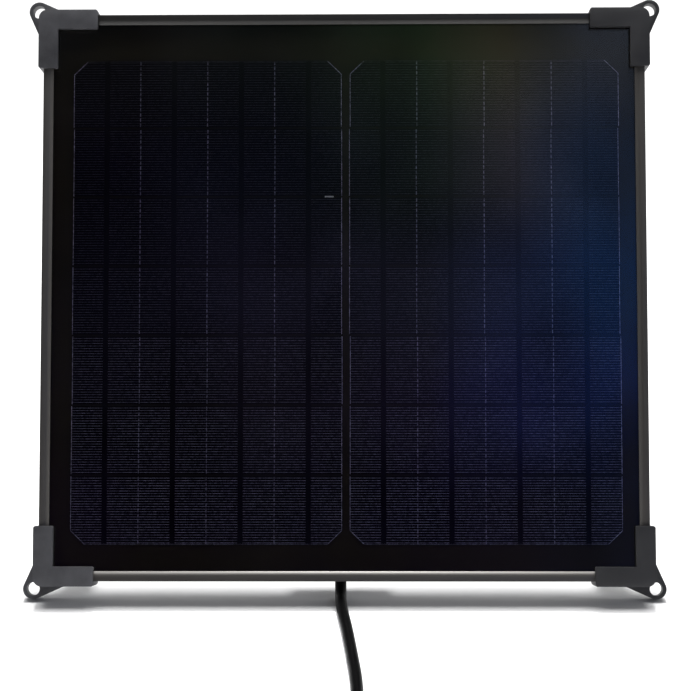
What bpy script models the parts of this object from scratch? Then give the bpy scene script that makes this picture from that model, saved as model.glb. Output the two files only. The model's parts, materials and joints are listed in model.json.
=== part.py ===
"""Solar panel of a fountain pump kit, with its folding rear stand and its lead.

Units are metres, +Z is up and the cells face -Y. The panel is modelled square to its own
axes under the empty panel_axes, which leans it back: x across, y from the front face of
the frame rearwards, and z up the panel from the frame's bottom edge. The origin is on the
floor, at the middle of the box around the panel and its stand. The lead lies on the floor.
"""
import math

import bmesh
import bpy
from mathutils import Matrix, Vector

# ---------------------------------------------------------------- driving dimensions
PANEL_WIDTH = 0.350
PANEL_HEIGHT = 0.329
FRAME_DEPTH = 0.017
LEAN = math.radians(19.0)
GAP = 0.0003
CENTRE_LINE = -0.002  # x of the junction box and of the lead behind the panel

# frame rail section, inwards from the outer edge and rearwards from the front
LIP_FLAT = 0.0036
LIP_WIDTH = 0.0059
LIP_SLOPE = 0.0008
LIP_THICKNESS = 0.0013
WALL = 0.0014
SHELF_WIDTH = 0.0075
SHELF_THICKNESS = 0.0012
FLANGE_WIDTH = 0.012
FLANGE_THICKNESS = 0.0014
EDGE_CHAMFER = 0.0004
MITRE_GAP = 0.00015
KEY_ARM = 0.024
KEY_WIDTH = 0.0055
KEY_EDGE = 0.0003

# the laminate, front to back
SHEET_GAP = 0.0001
GLASS_THICKNESS = 0.0032
GLASS_EDGE = 0.0003
CELL_THICKNESS = 0.0002
ENCAPSULANT_THICKNESS = 0.0004
RIBBON_THICKNESS = 0.0002
BACKSHEET_THICKNESS = 0.0003
GLASS_FRONT = LIP_THICKNESS + GAP
CELL_FRONT = GLASS_FRONT + GLASS_THICKNESS + SHEET_GAP
ENCAPSULANT_FRONT = CELL_FRONT + CELL_THICKNESS + SHEET_GAP
RIBBON_FRONT = ENCAPSULANT_FRONT + ENCAPSULANT_THICKNESS + SHEET_GAP
BACKSHEET_FRONT = RIBBON_FRONT + RIBBON_THICKNESS + SHEET_GAP
BACKSHEET_REAR = BACKSHEET_FRONT + BACKSHEET_THICKNESS
SHELF_FRONT = BACKSHEET_REAR + GAP
SHELF_REAR = SHELF_FRONT + SHELF_THICKNESS

# two columns of strips, each a quarter of a 156.75 mm cell
CELL_WIDTH = 0.15675
STRIP_HEIGHT = CELL_WIDTH / 4
CELL_CHAMFER = 0.0080
STRIPS_PER_COLUMN = 7
STRIP_PITCH = 0.0404
COLUMN_GAP = 0.0042
FIELD_SHIFT = 0.00125
FIELD_BOTTOM = 0.0208
RIBBON_WIDTH = 0.005
RIBBON_BASE = 0.011  # z of the two lower ribbons' bottom edge
RIBBON_SPREAD = 0.005  # from the centre line to each lower ribbon's upright
RIBBON_SLOT = (0.026, 0.007)

# corner protectors
PROTECTOR_OUTSIDE = 0.0029
PROTECTOR_ARM = 0.0112
PROTECTOR_REACH = 0.0345
PROTECTOR_FRONT = -0.0021
PROTECTOR_REAR = 0.0195
PROTECTOR_CORNER = 0.005
PROTECTOR_EDGE = 0.0005
LIP_CLEARANCE = 0.0062
RAIL_ROOM = 0.040  # how far the cutters for the rails reach from the corner
EAR_OFFSET = 0.0050
EAR_RADIUS = 0.0059
EAR_HOLE_RADIUS = 0.0041
EAR_FLARE = 0.0155
EAR_OVERLAP = 0.0006
EAR_FRONT = 0.0124
EAR_REAR = 0.0194
EAR_EDGE = 0.0004

# junction box, on the back of the laminate
BOX_WIDTH = 0.058
BOX_HEIGHT = 0.048
BOX_DEPTH = 0.016
BOX_BOTTOM = 0.120
BOX_WALL = 0.002
BOX_CORNER = 0.004
GASKET_THICKNESS = 0.001
LID_THICKNESS = 0.0022
LID_EDGE = 0.0007
RIM_WALL = 0.0015
TERMINAL_SIZE = (0.034, 0.0055, 0.008)
DIODE_RADIUS = 0.0018
DIODE_LEG_RADIUS = 0.0005
GLAND_SHANK_RADIUS = 0.006
GLAND_HEX_RADIUS = 0.0069
GLAND_HEX_HEIGHT = 0.004
NUT_HEIGHT = 0.012
SLEEVE_LENGTH = 0.024

# rear stand: two arms, a foot bar and two rubber feet
PIVOT_DEPTH = 0.028
PIVOT_HEIGHT = 0.160
ARM_LENGTH = 0.160
ARM_WIDTH = 0.012
ARM_THICKNESS = 0.003
ARM_EDGE = 0.0005
LUG_INSIDE = 0.1495
LUG_THICKNESS = 0.002
BRACKET_HEIGHT = 0.024
BRACKET_EDGE = 0.0006
FOOT_BAR_RADIUS = 0.004
FOOT_RADIUS = 0.007
FOOT_LENGTH = 0.022
FOOT_SETBACK = 0.005
BOLT_RADIUS = 0.0025
BOLT_HOLE_RADIUS = 0.0028
BOLT_HEAD_RADIUS = 0.0046
BOLT_HEAD_HEIGHT = 0.0035
KNOB_RADIUS = 0.0075
KNOB_LOBE = 0.0007
KNOB_LOBES = 8
KNOB_HEIGHT = 0.010

# lead
CABLE_RADIUS = 0.0033
CABLE_SPACING = 0.0145  # between the points of a straight-sided tube
TURN_PITCH = 0.0067
COIL_LAYERS = 4
COIL_MIDDLE_RADIUS = 0.042
COIL_CENTRE = (-0.048, -0.305)
COIL_LIFT = 0.0016
COIL_TURNS_PER_LAYER = 4.3
TIE_WIDTH = 0.008
TIE_CLEARANCE = 0.0007
TIE_THICKNESS = 0.0011
TIE_ANGLE = math.radians(135.0)  # where the tie is on the coil
POLE_OFFSET = 0.0022
POLE_RADIUS = 0.0010

# ---------------------------------------------------------------- derived places
FIELD_WIDTH = 2 * CELL_WIDTH + COLUMN_GAP
PANEL_LIFT = (EAR_REAR - EAR_EDGE) * math.sin(LEAN) + (EAR_OFFSET + EAR_RADIUS) * math.cos(LEAN)
PIVOT_WORLD_HEIGHT = PANEL_LIFT - PIVOT_DEPTH * math.sin(LEAN) + PIVOT_HEIGHT * math.cos(LEAN)
ARM_SLOPE = math.acos((PIVOT_WORLD_HEIGHT - FOOT_RADIUS) / ARM_LENGTH)
STAND_OPENING = LEAN + ARM_SLOPE
BOX_FRONT_MOST = (
    PROTECTOR_FRONT * math.cos(LEAN)
    - (PROTECTOR_OUTSIDE - PROTECTOR_EDGE) * math.sin(LEAN)
)
BOX_REAR_MOST = (
    PIVOT_DEPTH * math.cos(LEAN)
    + PIVOT_HEIGHT * math.sin(LEAN)
    + ARM_LENGTH * math.sin(ARM_SLOPE)
    + FOOT_RADIUS
)
PANEL_SETBACK = -(BOX_FRONT_MOST + BOX_REAR_MOST) / 2
BOX_AXIS_DEPTH = SHELF_FRONT + BOX_DEPTH / 2
ARM_INSIDE = LUG_INSIDE + LUG_THICKNESS + GAP
KNOB_INSIDE = ARM_INSIDE + ARM_THICKNESS + GAP
COIL_HALF_WIDTH = COIL_TURNS_PER_LAYER * TURN_PITCH / 2 + CABLE_RADIUS
COIL_HEIGHT = (COIL_LAYERS - 1) * TURN_PITCH + 2 * CABLE_RADIUS

# The lead's route behind and in front of the panel, then from the coil to its connector.
LEAD_ROUTE = [
    (-0.0020, -0.0275, 0.0862),
    (-0.0020, -0.0306, 0.0772),
    (-0.0020, -0.0325, 0.0640),
    (-0.0020, -0.0328, 0.0490),
    (-0.0020, -0.0333, 0.0345),
    (-0.0020, -0.0365, 0.0210),
    (-0.0020, -0.0435, 0.0105),
    (-0.0019, -0.0545, 0.0046),
    (-0.0014, -0.0680, 0.0035),
    (-0.0002, -0.0820, 0.0035),
    (0.0016, -0.0980, 0.0035),
    (0.0038, -0.1210, 0.0035),
    (0.0058, -0.1440, 0.0035),
    (0.0074, -0.1640, 0.0035),
    (0.0083, -0.1840, 0.0035),
    (0.0086, -0.2080, 0.0036),
    (0.0086, -0.2400, 0.0043),
    (0.0086, -0.2760, 0.0050),
]
TAIL_ROUTE = [
    (-0.0778, -0.3616, 0.0248),
    (-0.0860, -0.3615, 0.0236),
    (-0.0960, -0.3606, 0.0196),
    (-0.1060, -0.3586, 0.0138),
    (-0.1150, -0.3558, 0.0096),
    (-0.1235, -0.3527, 0.0088),
]
PLUG_START = (-0.1243, -0.3524, 0.0088)
PLUG_HEADING = math.radians(160.0)


# ---------------------------------------------------------------- scene helpers
def clear_scene():
    """Remove every object, so that the script can be run again."""
    for obj in list(bpy.data.objects):
        bpy.data.objects.remove(obj, do_unlink=True)


def new_collection(name):
    """A collection linked under the scene's own."""
    collection = bpy.data.collections.new(name)
    bpy.context.scene.collection.children.link(collection)
    return collection


def new_material(name, colour, metallic, roughness, alpha=1.0):
    """A Principled BSDF material."""
    material = bpy.data.materials.new(name)
    material.use_nodes = True
    shader = material.node_tree.nodes["Principled BSDF"]
    shader.inputs["Base Color"].default_value = (*colour, 1.0)
    shader.inputs["Metallic"].default_value = metallic
    shader.inputs["Roughness"].default_value = roughness
    shader.inputs["Alpha"].default_value = alpha
    material.diffuse_color = (*colour, alpha)
    return material


def new_empty(name, parent=None, location=(0.0, 0.0, 0.0), rotation=(0.0, 0.0, 0.0)):
    """An axis that other objects are placed by."""
    empty = bpy.data.objects.new(name, None)
    empty.empty_display_size = 0.02
    parts.objects.link(empty)
    empty.parent = parent
    empty.location = location
    empty.rotation_euler = rotation
    return empty


def new_object(name, mesh, parent, material, location=(0.0, 0.0, 0.0), collection=None):
    """A named piece, placed in its parent's axes."""
    obj = bpy.data.objects.new(name, mesh)
    (collection or parts).objects.link(obj)
    obj.parent = parent
    obj.location = location
    if material is not None:
        mesh.materials.clear()
        mesh.materials.append(material)
    return obj


def as_cutter(obj):
    """Mark an object as a Boolean cutter and not a piece."""
    obj.hide_render = True
    obj.display_type = "WIRE"
    return obj


def boolean(obj, tool, operation):
    """Join or cut obj with a closed tool, which becomes a cutter."""
    modifier = obj.modifiers.new(f"{operation.lower()}_{tool.name}"[:60], "BOOLEAN")
    modifier.operation = operation
    modifier.solver = "EXACT"
    modifier.object = as_cutter(tool)


def bevel(obj, width, segments=2):
    """Round the edges that are sharper than 40 degrees."""
    modifier = obj.modifiers.new("edges", "BEVEL")
    modifier.width = width
    modifier.segments = segments
    modifier.limit_method = "ANGLE"
    modifier.angle_limit = math.radians(40.0)


def smooth(mesh):
    """Smooth shading, with edges over 35 degrees kept sharp."""
    mesh.shade_smooth()
    mesh.set_sharp_from_angle(angle=math.radians(35.0))


# ---------------------------------------------------------------- shape helpers
def tidy_mesh(mesh):
    """Weld the caps and turn every face outwards."""
    shape = bmesh.new()
    shape.from_mesh(mesh)
    bmesh.ops.remove_doubles(shape, verts=shape.verts, dist=1e-6)
    bmesh.ops.recalc_face_normals(shape, faces=shape.faces)
    shape.to_mesh(mesh)
    shape.free()


def mesh_from_curve(curve):
    """The closed mesh of a curve, whose temporary object is removed."""
    holder = bpy.data.objects.new(curve.name, curve)
    parts.objects.link(holder)
    bpy.context.view_layer.update()
    evaluated = holder.evaluated_get(bpy.context.evaluated_depsgraph_get())
    mesh = bpy.data.meshes.new_from_object(evaluated)
    bpy.data.objects.remove(holder, do_unlink=True)
    tidy_mesh(mesh)
    smooth(mesh)
    return mesh


def extruded(name, outline, thickness, holes=()):
    """A flat outline in the curve's own X and Y, extruded evenly along its Z."""
    curve = bpy.data.curves.new(name, "CURVE")
    curve.dimensions = "2D"
    curve.fill_mode = "BOTH"
    curve.extrude = thickness / 2
    for ring in (outline, *holes):
        spline = curve.splines.new("POLY")
        spline.points.add(len(ring) - 1)
        for point, (x, y) in zip(spline.points, ring):
            point.co = (x, y, 0.0, 1.0)
        spline.use_cyclic_u = True
    return mesh_from_curve(curve)


def facing_front(name, outline, front, rear, holes=()):
    """An outline in X and Z, from depth front to depth rear along Y."""
    mesh = extruded(name, outline, rear - front, holes)
    shift = Matrix.Translation((0.0, (front + rear) / 2, 0.0))
    mesh.transform(shift @ Matrix.Rotation(math.pi / 2, 4, "X"))
    return mesh


def facing_side(name, outline, inside, outside, holes=()):
    """An outline in Y and Z, from x inside to x outside."""
    mesh = extruded(name, outline, outside - inside, holes)
    turn = Matrix(((0, 0, 1, 0), (1, 0, 0, 0), (0, 1, 0, 0), (0, 0, 0, 1)))
    mesh.transform(Matrix.Translation(((inside + outside) / 2, 0.0, 0.0)) @ turn)
    return mesh


def block(name, size, centre=(0.0, 0.0, 0.0)):
    """A rectangular block."""
    shape = bmesh.new()
    place = Matrix.Translation(centre) @ Matrix.Diagonal((*size, 1.0))
    bmesh.ops.create_cube(shape, size=1.0, matrix=place)
    mesh = bpy.data.meshes.new(name)
    shape.to_mesh(mesh)
    shape.free()
    return mesh


def rod(name, radius, start, end, segments=32):
    """A cylinder or, with few segments, a prism between two points."""
    start, end = Vector(start), Vector(end)
    run = end - start
    turn = run.to_track_quat("Z", "Y").to_matrix().to_4x4()
    shape = bmesh.new()
    bmesh.ops.create_cone(
        shape,
        cap_ends=True,
        segments=segments,
        radius1=radius,
        radius2=radius,
        depth=run.length,
        matrix=Matrix.Translation((start + end) / 2) @ turn,
    )
    mesh = bpy.data.meshes.new(name)
    shape.to_mesh(mesh)
    shape.free()
    smooth(mesh)
    return mesh


def turned(name, profile, parent, material, location=(0.0, 0.0, 0.0), rotation=(0.0, 0.0, 0.0),
           steps=32, ring=False):
    """A profile of (radius, height) points, down its outer side, turned about its own Z."""
    mesh = bpy.data.meshes.new(name)
    points = [(radius, 0.0, height) for radius, height in profile]
    edges = [(i, i + 1) for i in range(len(points) - 1)]
    if ring:
        edges.append((len(points) - 1, 0))
    mesh.from_pydata(points, edges, [])
    obj = new_object(name, mesh, parent, material, location)
    obj.rotation_euler = rotation
    screw = obj.modifiers.new("turn", "SCREW")
    screw.axis = "Z"
    screw.angle = 2 * math.pi
    screw.steps = steps
    screw.render_steps = steps
    screw.use_merge_vertices = True
    screw.merge_threshold = 0.00001
    screw.use_smooth_shade = True
    return obj


def arc(centre, radius, start, end, steps):
    """Points on an arc, from start to end in degrees."""
    angles = [math.radians(start + (end - start) * i / steps) for i in range(steps + 1)]
    return [(centre[0] + radius * math.cos(a), centre[1] + radius * math.sin(a)) for a in angles]


def rounded_rectangle(width, height, radius, steps=4):
    """A centred rectangle with round corners."""
    x, y = width / 2 - radius, height / 2 - radius
    corners = [((x, y), 0), ((-x, y), 90), ((-x, -y), 180), ((x, -y), 270)]
    outline = []
    for centre, start in corners:
        outline += arc(centre, radius, start, start + 90, steps)
    return outline


def smooth_route(route, spacing):
    """Points at even spacing along a Catmull-Rom curve through the route's own points."""
    knots = [Vector(p) for p in route]
    knots = [2 * knots[0] - knots[1], *knots, 2 * knots[-1] - knots[-2]]
    fine = []
    steps = 12
    for a, b, c, d in zip(knots, knots[1:], knots[2:], knots[3:]):
        for i in range(steps):
            t = i / steps
            square = (2 * a - 5 * b + 4 * c - d) * t ** 2
            cube = (3 * b - a - 3 * c + d) * t ** 3
            fine.append(0.5 * (2 * b + (c - a) * t + square + cube))
    fine.append(knots[-2])
    lengths = [0.0]
    for a, b in zip(fine, fine[1:]):
        lengths.append(lengths[-1] + (b - a).length)
    count = max(2, round(lengths[-1] / spacing))
    points = []
    at = 0
    for i in range(count + 1):
        target = lengths[-1] * i / count
        while at < len(fine) - 2 and lengths[at + 1] < target:
            at += 1
        part = (target - lengths[at]) / (lengths[at + 1] - lengths[at])
        points.append(fine[at].lerp(fine[at + 1], part))
    return points


def tube(name, route, material):
    """A stretch of the lead along a route in world axes."""
    curve = bpy.data.curves.new(name, "CURVE")
    curve.dimensions = "3D"
    curve.bevel_depth = CABLE_RADIUS
    curve.bevel_resolution = 2
    curve.use_fill_caps = True
    points = smooth_route(route, CABLE_SPACING)
    spline = curve.splines.new("POLY")
    spline.points.add(len(points) - 1)
    for point, place in zip(spline.points, points):
        point.co = (*place, 1.0)
    return new_object(name, mesh_from_curve(curve), None, material)


# ---------------------------------------------------------------- frame
def rail(name, length, centre, turn):
    """One aluminium rail with mitred ends, along X at first, with its section inwards along Z."""
    outline = [
        (0.0, EDGE_CHAMFER),
        (EDGE_CHAMFER, 0.0),
        (LIP_FLAT, 0.0),
        (LIP_WIDTH, LIP_SLOPE),
        (LIP_WIDTH, LIP_THICKNESS),
        (WALL, LIP_THICKNESS),
        (WALL, SHELF_FRONT),
        (SHELF_WIDTH, SHELF_FRONT),
        (SHELF_WIDTH, SHELF_REAR),
        (WALL, SHELF_REAR),
        (WALL, FRAME_DEPTH - FLANGE_THICKNESS),
        (FLANGE_WIDTH, FRAME_DEPTH - FLANGE_THICKNESS),
        (FLANGE_WIDTH, FRAME_DEPTH),
        (EDGE_CHAMFER, FRAME_DEPTH),
        (0.0, FRAME_DEPTH - EDGE_CHAMFER),
    ]
    mesh = extruded(name, outline, length)
    mesh.transform(Matrix.Rotation(-math.pi / 2, 4, "Y"))
    for vertex in mesh.vertices:
        vertex.co.x = math.copysign(length / 2 - vertex.co.z - MITRE_GAP, vertex.co.x)
    obj = new_object(name, mesh, panel, anodised, centre)
    obj.rotation_euler = (0.0, turn, 0.0)


def frame_rails():
    """Bottom, top and side rails."""
    half = PANEL_WIDTH / 2
    rail("rail_bottom", PANEL_WIDTH, (0.0, 0.0, 0.0), 0.0)
    rail("rail_top", PANEL_WIDTH, (0.0, 0.0, PANEL_HEIGHT), math.pi)
    rail("rail_left", PANEL_HEIGHT, (-half, 0.0, PANEL_HEIGHT / 2), math.pi / 2)
    rail("rail_right", PANEL_HEIGHT, (half, 0.0, PANEL_HEIGHT / 2), -math.pi / 2)


def corner_outline(points, side, end):
    """Points measured inwards from a corner, as X and Z from that corner."""
    return [(-side * inward, end * along) for inward, along in points]


def l_outline(low, high, reach):
    """An L with both arms between low and high, out to reach."""
    return [(low, low), (reach, low), (reach, high), (high, high), (high, reach), (low, reach)]


def corner_key(name, side, end, corner):
    """The L-shaped insert that joins two rails, between their shelf and rear flange."""
    low = WALL + GAP
    outline = corner_outline(l_outline(low, low + KEY_WIDTH, low + KEY_ARM), side, end)
    front, rear = SHELF_REAR + GAP, FRAME_DEPTH - FLANGE_THICKNESS - GAP
    obj = new_object(name, facing_front(name, outline, front, rear), panel, key_metal, corner)
    bevel(obj, KEY_EDGE, 1)


def protector_outline():
    """The L-shaped face of a protector, with a round outer corner."""
    low = -PROTECTOR_OUTSIDE
    high = low + PROTECTOR_ARM
    reach = low + PROTECTOR_REACH
    middle = low + PROTECTOR_CORNER
    corner = arc((middle, middle), PROTECTOR_CORNER, 180, 270, 6)
    return [*corner, (reach, low), (reach, high), (high, high), (high, reach), (low, reach)]


def ear_outline():
    """A disc off the corner with straight sides that run out on the protector's two walls."""
    start = (-PROTECTOR_OUTSIDE + EAR_OVERLAP, EAR_FLARE)
    run = (start[0] + EAR_OFFSET, start[1] + EAR_OFFSET)
    angle = math.degrees(math.atan2(run[1], run[0]) + math.acos(EAR_RADIUS / math.hypot(*run)))
    disc = arc((-EAR_OFFSET, -EAR_OFFSET), EAR_RADIUS, angle, 450 - angle, 20)
    inner = 0.001
    return [start, *disc, start[::-1], (start[1], inner), (inner, start[1])]


def protector(name, side, end, corner):
    """One moulded corner protector, with its eyelet ear towards the rear."""
    face = corner_outline(protector_outline(), side, end)
    body = facing_front(name, face, PROTECTOR_FRONT, PROTECTOR_REAR)
    obj = new_object(name, body, panel, dark_plastic, corner)
    bevel(obj, PROTECTOR_EDGE)

    hole_steps = 32
    last = 360 - 360 / hole_steps
    bore = arc((-EAR_OFFSET, -EAR_OFFSET), EAR_HOLE_RADIUS, 0, last, hole_steps - 1)
    eyelet = corner_outline(ear_outline(), side, end)
    holes = [corner_outline(bore, side, end)]
    ear_mesh = facing_front(f"{name}_ear", eyelet, EAR_FRONT, EAR_REAR, holes)
    ear = new_object(f"{name}_ear", ear_mesh, panel, None, corner, cutters)
    bevel(ear, EAR_EDGE)
    boolean(obj, ear, "UNION")

    lip_room = corner_outline(l_outline(-GAP, LIP_CLEARANCE, RAIL_ROOM), side, end)
    lip_mesh = facing_front(f"{name}_lip_room", lip_room, -GAP, FRAME_DEPTH + GAP)
    lip_cutter = new_object(f"{name}_lip_room", lip_mesh, panel, None, corner, cutters)
    boolean(obj, lip_cutter, "DIFFERENCE")

    square = [(-GAP, -GAP), (RAIL_ROOM, -GAP), (RAIL_ROOM, RAIL_ROOM), (-GAP, RAIL_ROOM)]
    rail_room = corner_outline(square, side, end)
    rail_mesh = facing_front(f"{name}_rail_room", rail_room, LIP_THICKNESS, FRAME_DEPTH + GAP)
    rail_cutter = new_object(f"{name}_rail_room", rail_mesh, panel, None, corner, cutters)
    boolean(obj, rail_cutter, "DIFFERENCE")


def frame_corners():
    """A key and a protector at each corner."""
    for end_name, end, height in (("bottom", 1, 0.0), ("top", -1, PANEL_HEIGHT)):
        for side_name, side in (("left", -1), ("right", 1)):
            corner = (side * PANEL_WIDTH / 2, 0.0, height)
            corner_key(f"corner_key_{end_name}_{side_name}", side, end, corner)
            protector(f"corner_protector_{end_name}_{side_name}", side, end, corner)


# ---------------------------------------------------------------- laminate
def sheet(name, front, thickness, material):
    """A sheet that fills the rails' pocket."""
    inset = WALL + GAP
    size = (PANEL_WIDTH - 2 * inset, thickness, PANEL_HEIGHT - 2 * inset)
    centre = (0.0, front + thickness / 2, PANEL_HEIGHT / 2)
    return new_object(name, block(name, size), panel, material, centre)


def strip_outline(row):
    """A cell strip seen from the front, with cut corners at the ends of its column."""
    x, z, cut = CELL_WIDTH / 2, STRIP_HEIGHT / 2, CELL_CHAMFER
    low = [(-x + cut, -z), (x - cut, -z)]
    high = [(x - cut, z), (-x + cut, z)]
    if row == 0:
        return [*low, (x, -z + cut), (x, z), (-x, z), (-x, -z + cut)]
    if row == STRIPS_PER_COLUMN - 1:
        return [(-x, -z), (x, -z), (x, z - cut), *high, (-x, z - cut)]
    return [(-x, -z), (x, -z), (x, z), (-x, z)]


def cell_strips():
    """Two columns of strips, numbered from the bottom."""
    for side_name, side in (("left", -1), ("right", 1)):
        x = FIELD_SHIFT + side * (COLUMN_GAP + CELL_WIDTH) / 2
        for row in range(STRIPS_PER_COLUMN):
            name = f"cell_{side_name}_{row + 1}"
            mesh = facing_front(name, strip_outline(row), 0.0, CELL_THICKNESS)
            place = (x, CELL_FRONT, FIELD_BOTTOM + STRIP_HEIGHT / 2 + row * STRIP_PITCH)
            new_object(name, mesh, panel, silicon, place)


def bus_ribbons():
    """The flat ribbons that join the columns at the top and lead to the box at the bottom."""
    rear = RIBBON_FRONT + RIBBON_THICKNESS
    half, width, low = FIELD_WIDTH / 2, RIBBON_WIDTH, RIBBON_BASE
    top = PANEL_HEIGHT - FIELD_BOTTOM + width
    cross = [(-half, top), (half, top), (half, top + width), (-half, top + width)]
    mesh = facing_front("ribbon_cross", cross, RIBBON_FRONT, rear)
    new_object("ribbon_cross", mesh, panel, copper_ribbon)
    up = BOX_BOTTOM + BOX_HEIGHT / 2 + RIBBON_SLOT[1] / 4
    for name, side in (("ribbon_left", -1), ("ribbon_right", 1)):
        end = side * half
        near = CENTRE_LINE + side * RIBBON_SPREAD
        far = near + side * width
        outline = [(end, low), (near, low), (near, up), (far, up), (far, low + width), (end, low + width)]
        new_object(name, facing_front(name, outline, RIBBON_FRONT, rear), panel, copper_ribbon)


def laminate():
    """Glass, cells, encapsulant, ribbons and backsheet."""
    glass = sheet("glass_pane", GLASS_FRONT, GLASS_THICKNESS, clear_glass)
    bevel(glass, GLASS_EDGE, 1)
    cell_strips()
    sheet("encapsulant", ENCAPSULANT_FRONT, ENCAPSULANT_THICKNESS, black_film)
    bus_ribbons()
    back = sheet("backsheet", BACKSHEET_FRONT, BACKSHEET_THICKNESS, black_film)
    slot_place = (CENTRE_LINE, BACKSHEET_FRONT, BOX_BOTTOM + BOX_HEIGHT / 2)
    slot_mesh = block("ribbon_slot", (RIBBON_SLOT[0], 0.004, RIBBON_SLOT[1]))
    slot = new_object("ribbon_slot", slot_mesh, panel, None, slot_place, cutters)
    boolean(back, slot, "DIFFERENCE")


# ---------------------------------------------------------------- junction box
def box_base(middle, room_size):
    """The open base, with a slot for the ribbons and a hole for the gland."""
    rim = SHELF_FRONT + BOX_DEPTH
    outer = rounded_rectangle(BOX_WIDTH, BOX_HEIGHT, BOX_CORNER)
    base_mesh = facing_front("junction_box_base", outer, SHELF_FRONT, rim)
    base = new_object("junction_box_base", base_mesh, panel, black_plastic, middle)
    room = rounded_rectangle(*room_size, BOX_CORNER - BOX_WALL)
    beyond = 0.002
    room_mesh = facing_front("box_room", room, SHELF_FRONT + BOX_WALL, rim + beyond)
    boolean(base, new_object("box_room", room_mesh, panel, None, middle, cutters), "DIFFERENCE")
    slot_size = (RIBBON_SLOT[0], 3 * BOX_WALL, RIBBON_SLOT[1])
    slot_mesh = block("box_slot", slot_size, (0.0, SHELF_FRONT + BOX_WALL / 2, 0.0))
    boolean(base, new_object("box_slot", slot_mesh, panel, None, middle, cutters), "DIFFERENCE")
    low = -BOX_HEIGHT / 2
    hole_ends = [(0.0, BOX_AXIS_DEPTH, low - beyond), (0.0, BOX_AXIS_DEPTH, low + BOX_WALL + beyond)]
    hole_mesh = rod("gland_hole", GLAND_SHANK_RADIUS + GAP, *hole_ends, 24)
    boolean(base, new_object("gland_hole", hole_mesh, panel, None, middle, cutters), "DIFFERENCE")


def box_lid(middle, room_size):
    """The gasket, and the lid with a rim that drops inside the base."""
    rim = SHELF_FRONT + BOX_DEPTH
    gasket_front = rim + GAP
    gasket_rear = gasket_front + GASKET_THICKNESS
    corner = BOX_CORNER - BOX_WALL
    edge = rounded_rectangle(BOX_WIDTH - 2 * GAP, BOX_HEIGHT - 2 * GAP, BOX_CORNER)
    hole = rounded_rectangle(room_size[0] + 4 * GAP, room_size[1] + 4 * GAP, corner)
    gasket_mesh = facing_front("box_gasket", edge, gasket_front, gasket_rear, [hole])
    new_object("box_gasket", gasket_mesh, panel, seal_rubber, middle)

    outer = rounded_rectangle(BOX_WIDTH, BOX_HEIGHT, BOX_CORNER)
    lid_front = gasket_rear + GAP
    lid_mesh = facing_front("junction_box_lid", outer, lid_front, lid_front + LID_THICKNESS)
    lid = new_object("junction_box_lid", lid_mesh, panel, black_plastic, middle)
    bevel(lid, LID_EDGE)
    rim_size = (room_size[0] - 2 * GAP, room_size[1] - 2 * GAP)
    rim_edge = rounded_rectangle(*rim_size, corner)
    rim_hole = rounded_rectangle(rim_size[0] - 2 * RIM_WALL, rim_size[1] - 2 * RIM_WALL, corner / 2)
    rim_depth = 0.002
    rim_mesh = facing_front("lid_rim", rim_edge, rim - rim_depth, lid_front + 0.001, [rim_hole])
    boolean(lid, new_object("lid_rim", rim_mesh, panel, None, middle, cutters), "UNION")


def box_contents(middle):
    """The terminal block, and the bypass diode across it."""
    floor = SHELF_FRONT + BOX_WALL
    place = (CENTRE_LINE, floor + GAP + TERMINAL_SIZE[1] / 2, middle[2] + 0.010)
    terminals = new_object("terminal_block", block("terminal_block", TERMINAL_SIZE), panel, brass, place)
    bevel(terminals, 0.0005, 1)
    body, leg = 0.0045, 0.013
    profile = [
        (0.0, leg),
        (DIODE_LEG_RADIUS, leg),
        (DIODE_LEG_RADIUS, body),
        (DIODE_RADIUS, body),
        (DIODE_RADIUS, -body),
        (DIODE_LEG_RADIUS, -body),
        (DIODE_LEG_RADIUS, -leg),
        (0.0, -leg),
    ]
    place = (CENTRE_LINE, floor + 0.0035, middle[2] - 0.009)
    turned("bypass_diode", profile, panel, black_plastic, place, (0.0, math.pi / 2, 0.0), 12)


def junction_box():
    """Base, gasket, lid and contents."""
    middle = (CENTRE_LINE, 0.0, BOX_BOTTOM + BOX_HEIGHT / 2)
    room_size = (BOX_WIDTH - 2 * BOX_WALL, BOX_HEIGHT - 2 * BOX_WALL)
    box_base(middle, room_size)
    box_lid(middle, room_size)
    box_contents(middle)


def cable_gland():
    """Gland body through the box wall, its nut, and the tapered sleeve that the lead leaves by."""
    axis = (CENTRE_LINE, BOX_AXIS_DEPTH, BOX_BOTTOM)
    hex_low = -GAP - GLAND_HEX_HEIGHT
    body_mesh = rod("gland_body", GLAND_HEX_RADIUS, (0.0, 0.0, -GAP), (0.0, 0.0, hex_low), 6)
    body = new_object("gland_body", body_mesh, panel, black_plastic, axis)
    shank_ends = [(0.0, 0.0, hex_low + 0.001), (0.0, 0.0, BOX_WALL + 0.003)]
    shank_mesh = rod("gland_shank", GLAND_SHANK_RADIUS, *shank_ends, 24)
    boolean(body, new_object("gland_shank", shank_mesh, panel, None, axis, cutters), "UNION")
    top = hex_low - GAP
    nut_profile = [
        (0.0, top),
        (0.0064, top),
        (0.0068, top - 0.0005),
        (0.0068, top - 0.0080),
        (0.0062, top - 0.0105),
        (0.0054, top - NUT_HEIGHT),
        (0.0, top - NUT_HEIGHT),
    ]
    turned("gland_nut", nut_profile, panel, black_plastic, axis, steps=24)
    top -= NUT_HEIGHT + GAP
    sleeve_profile = [
        (0.0, top),
        (0.0051, top),
        (0.0053, top - 0.0015),
        (0.0047, top - 0.0090),
        (0.0042, top - 0.0170),
        (0.0040, top - SLEEVE_LENGTH),
        (0.0, top - SLEEVE_LENGTH),
    ]
    turned("strain_relief_sleeve", sleeve_profile, panel, soft_rubber, axis, steps=20)


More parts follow.
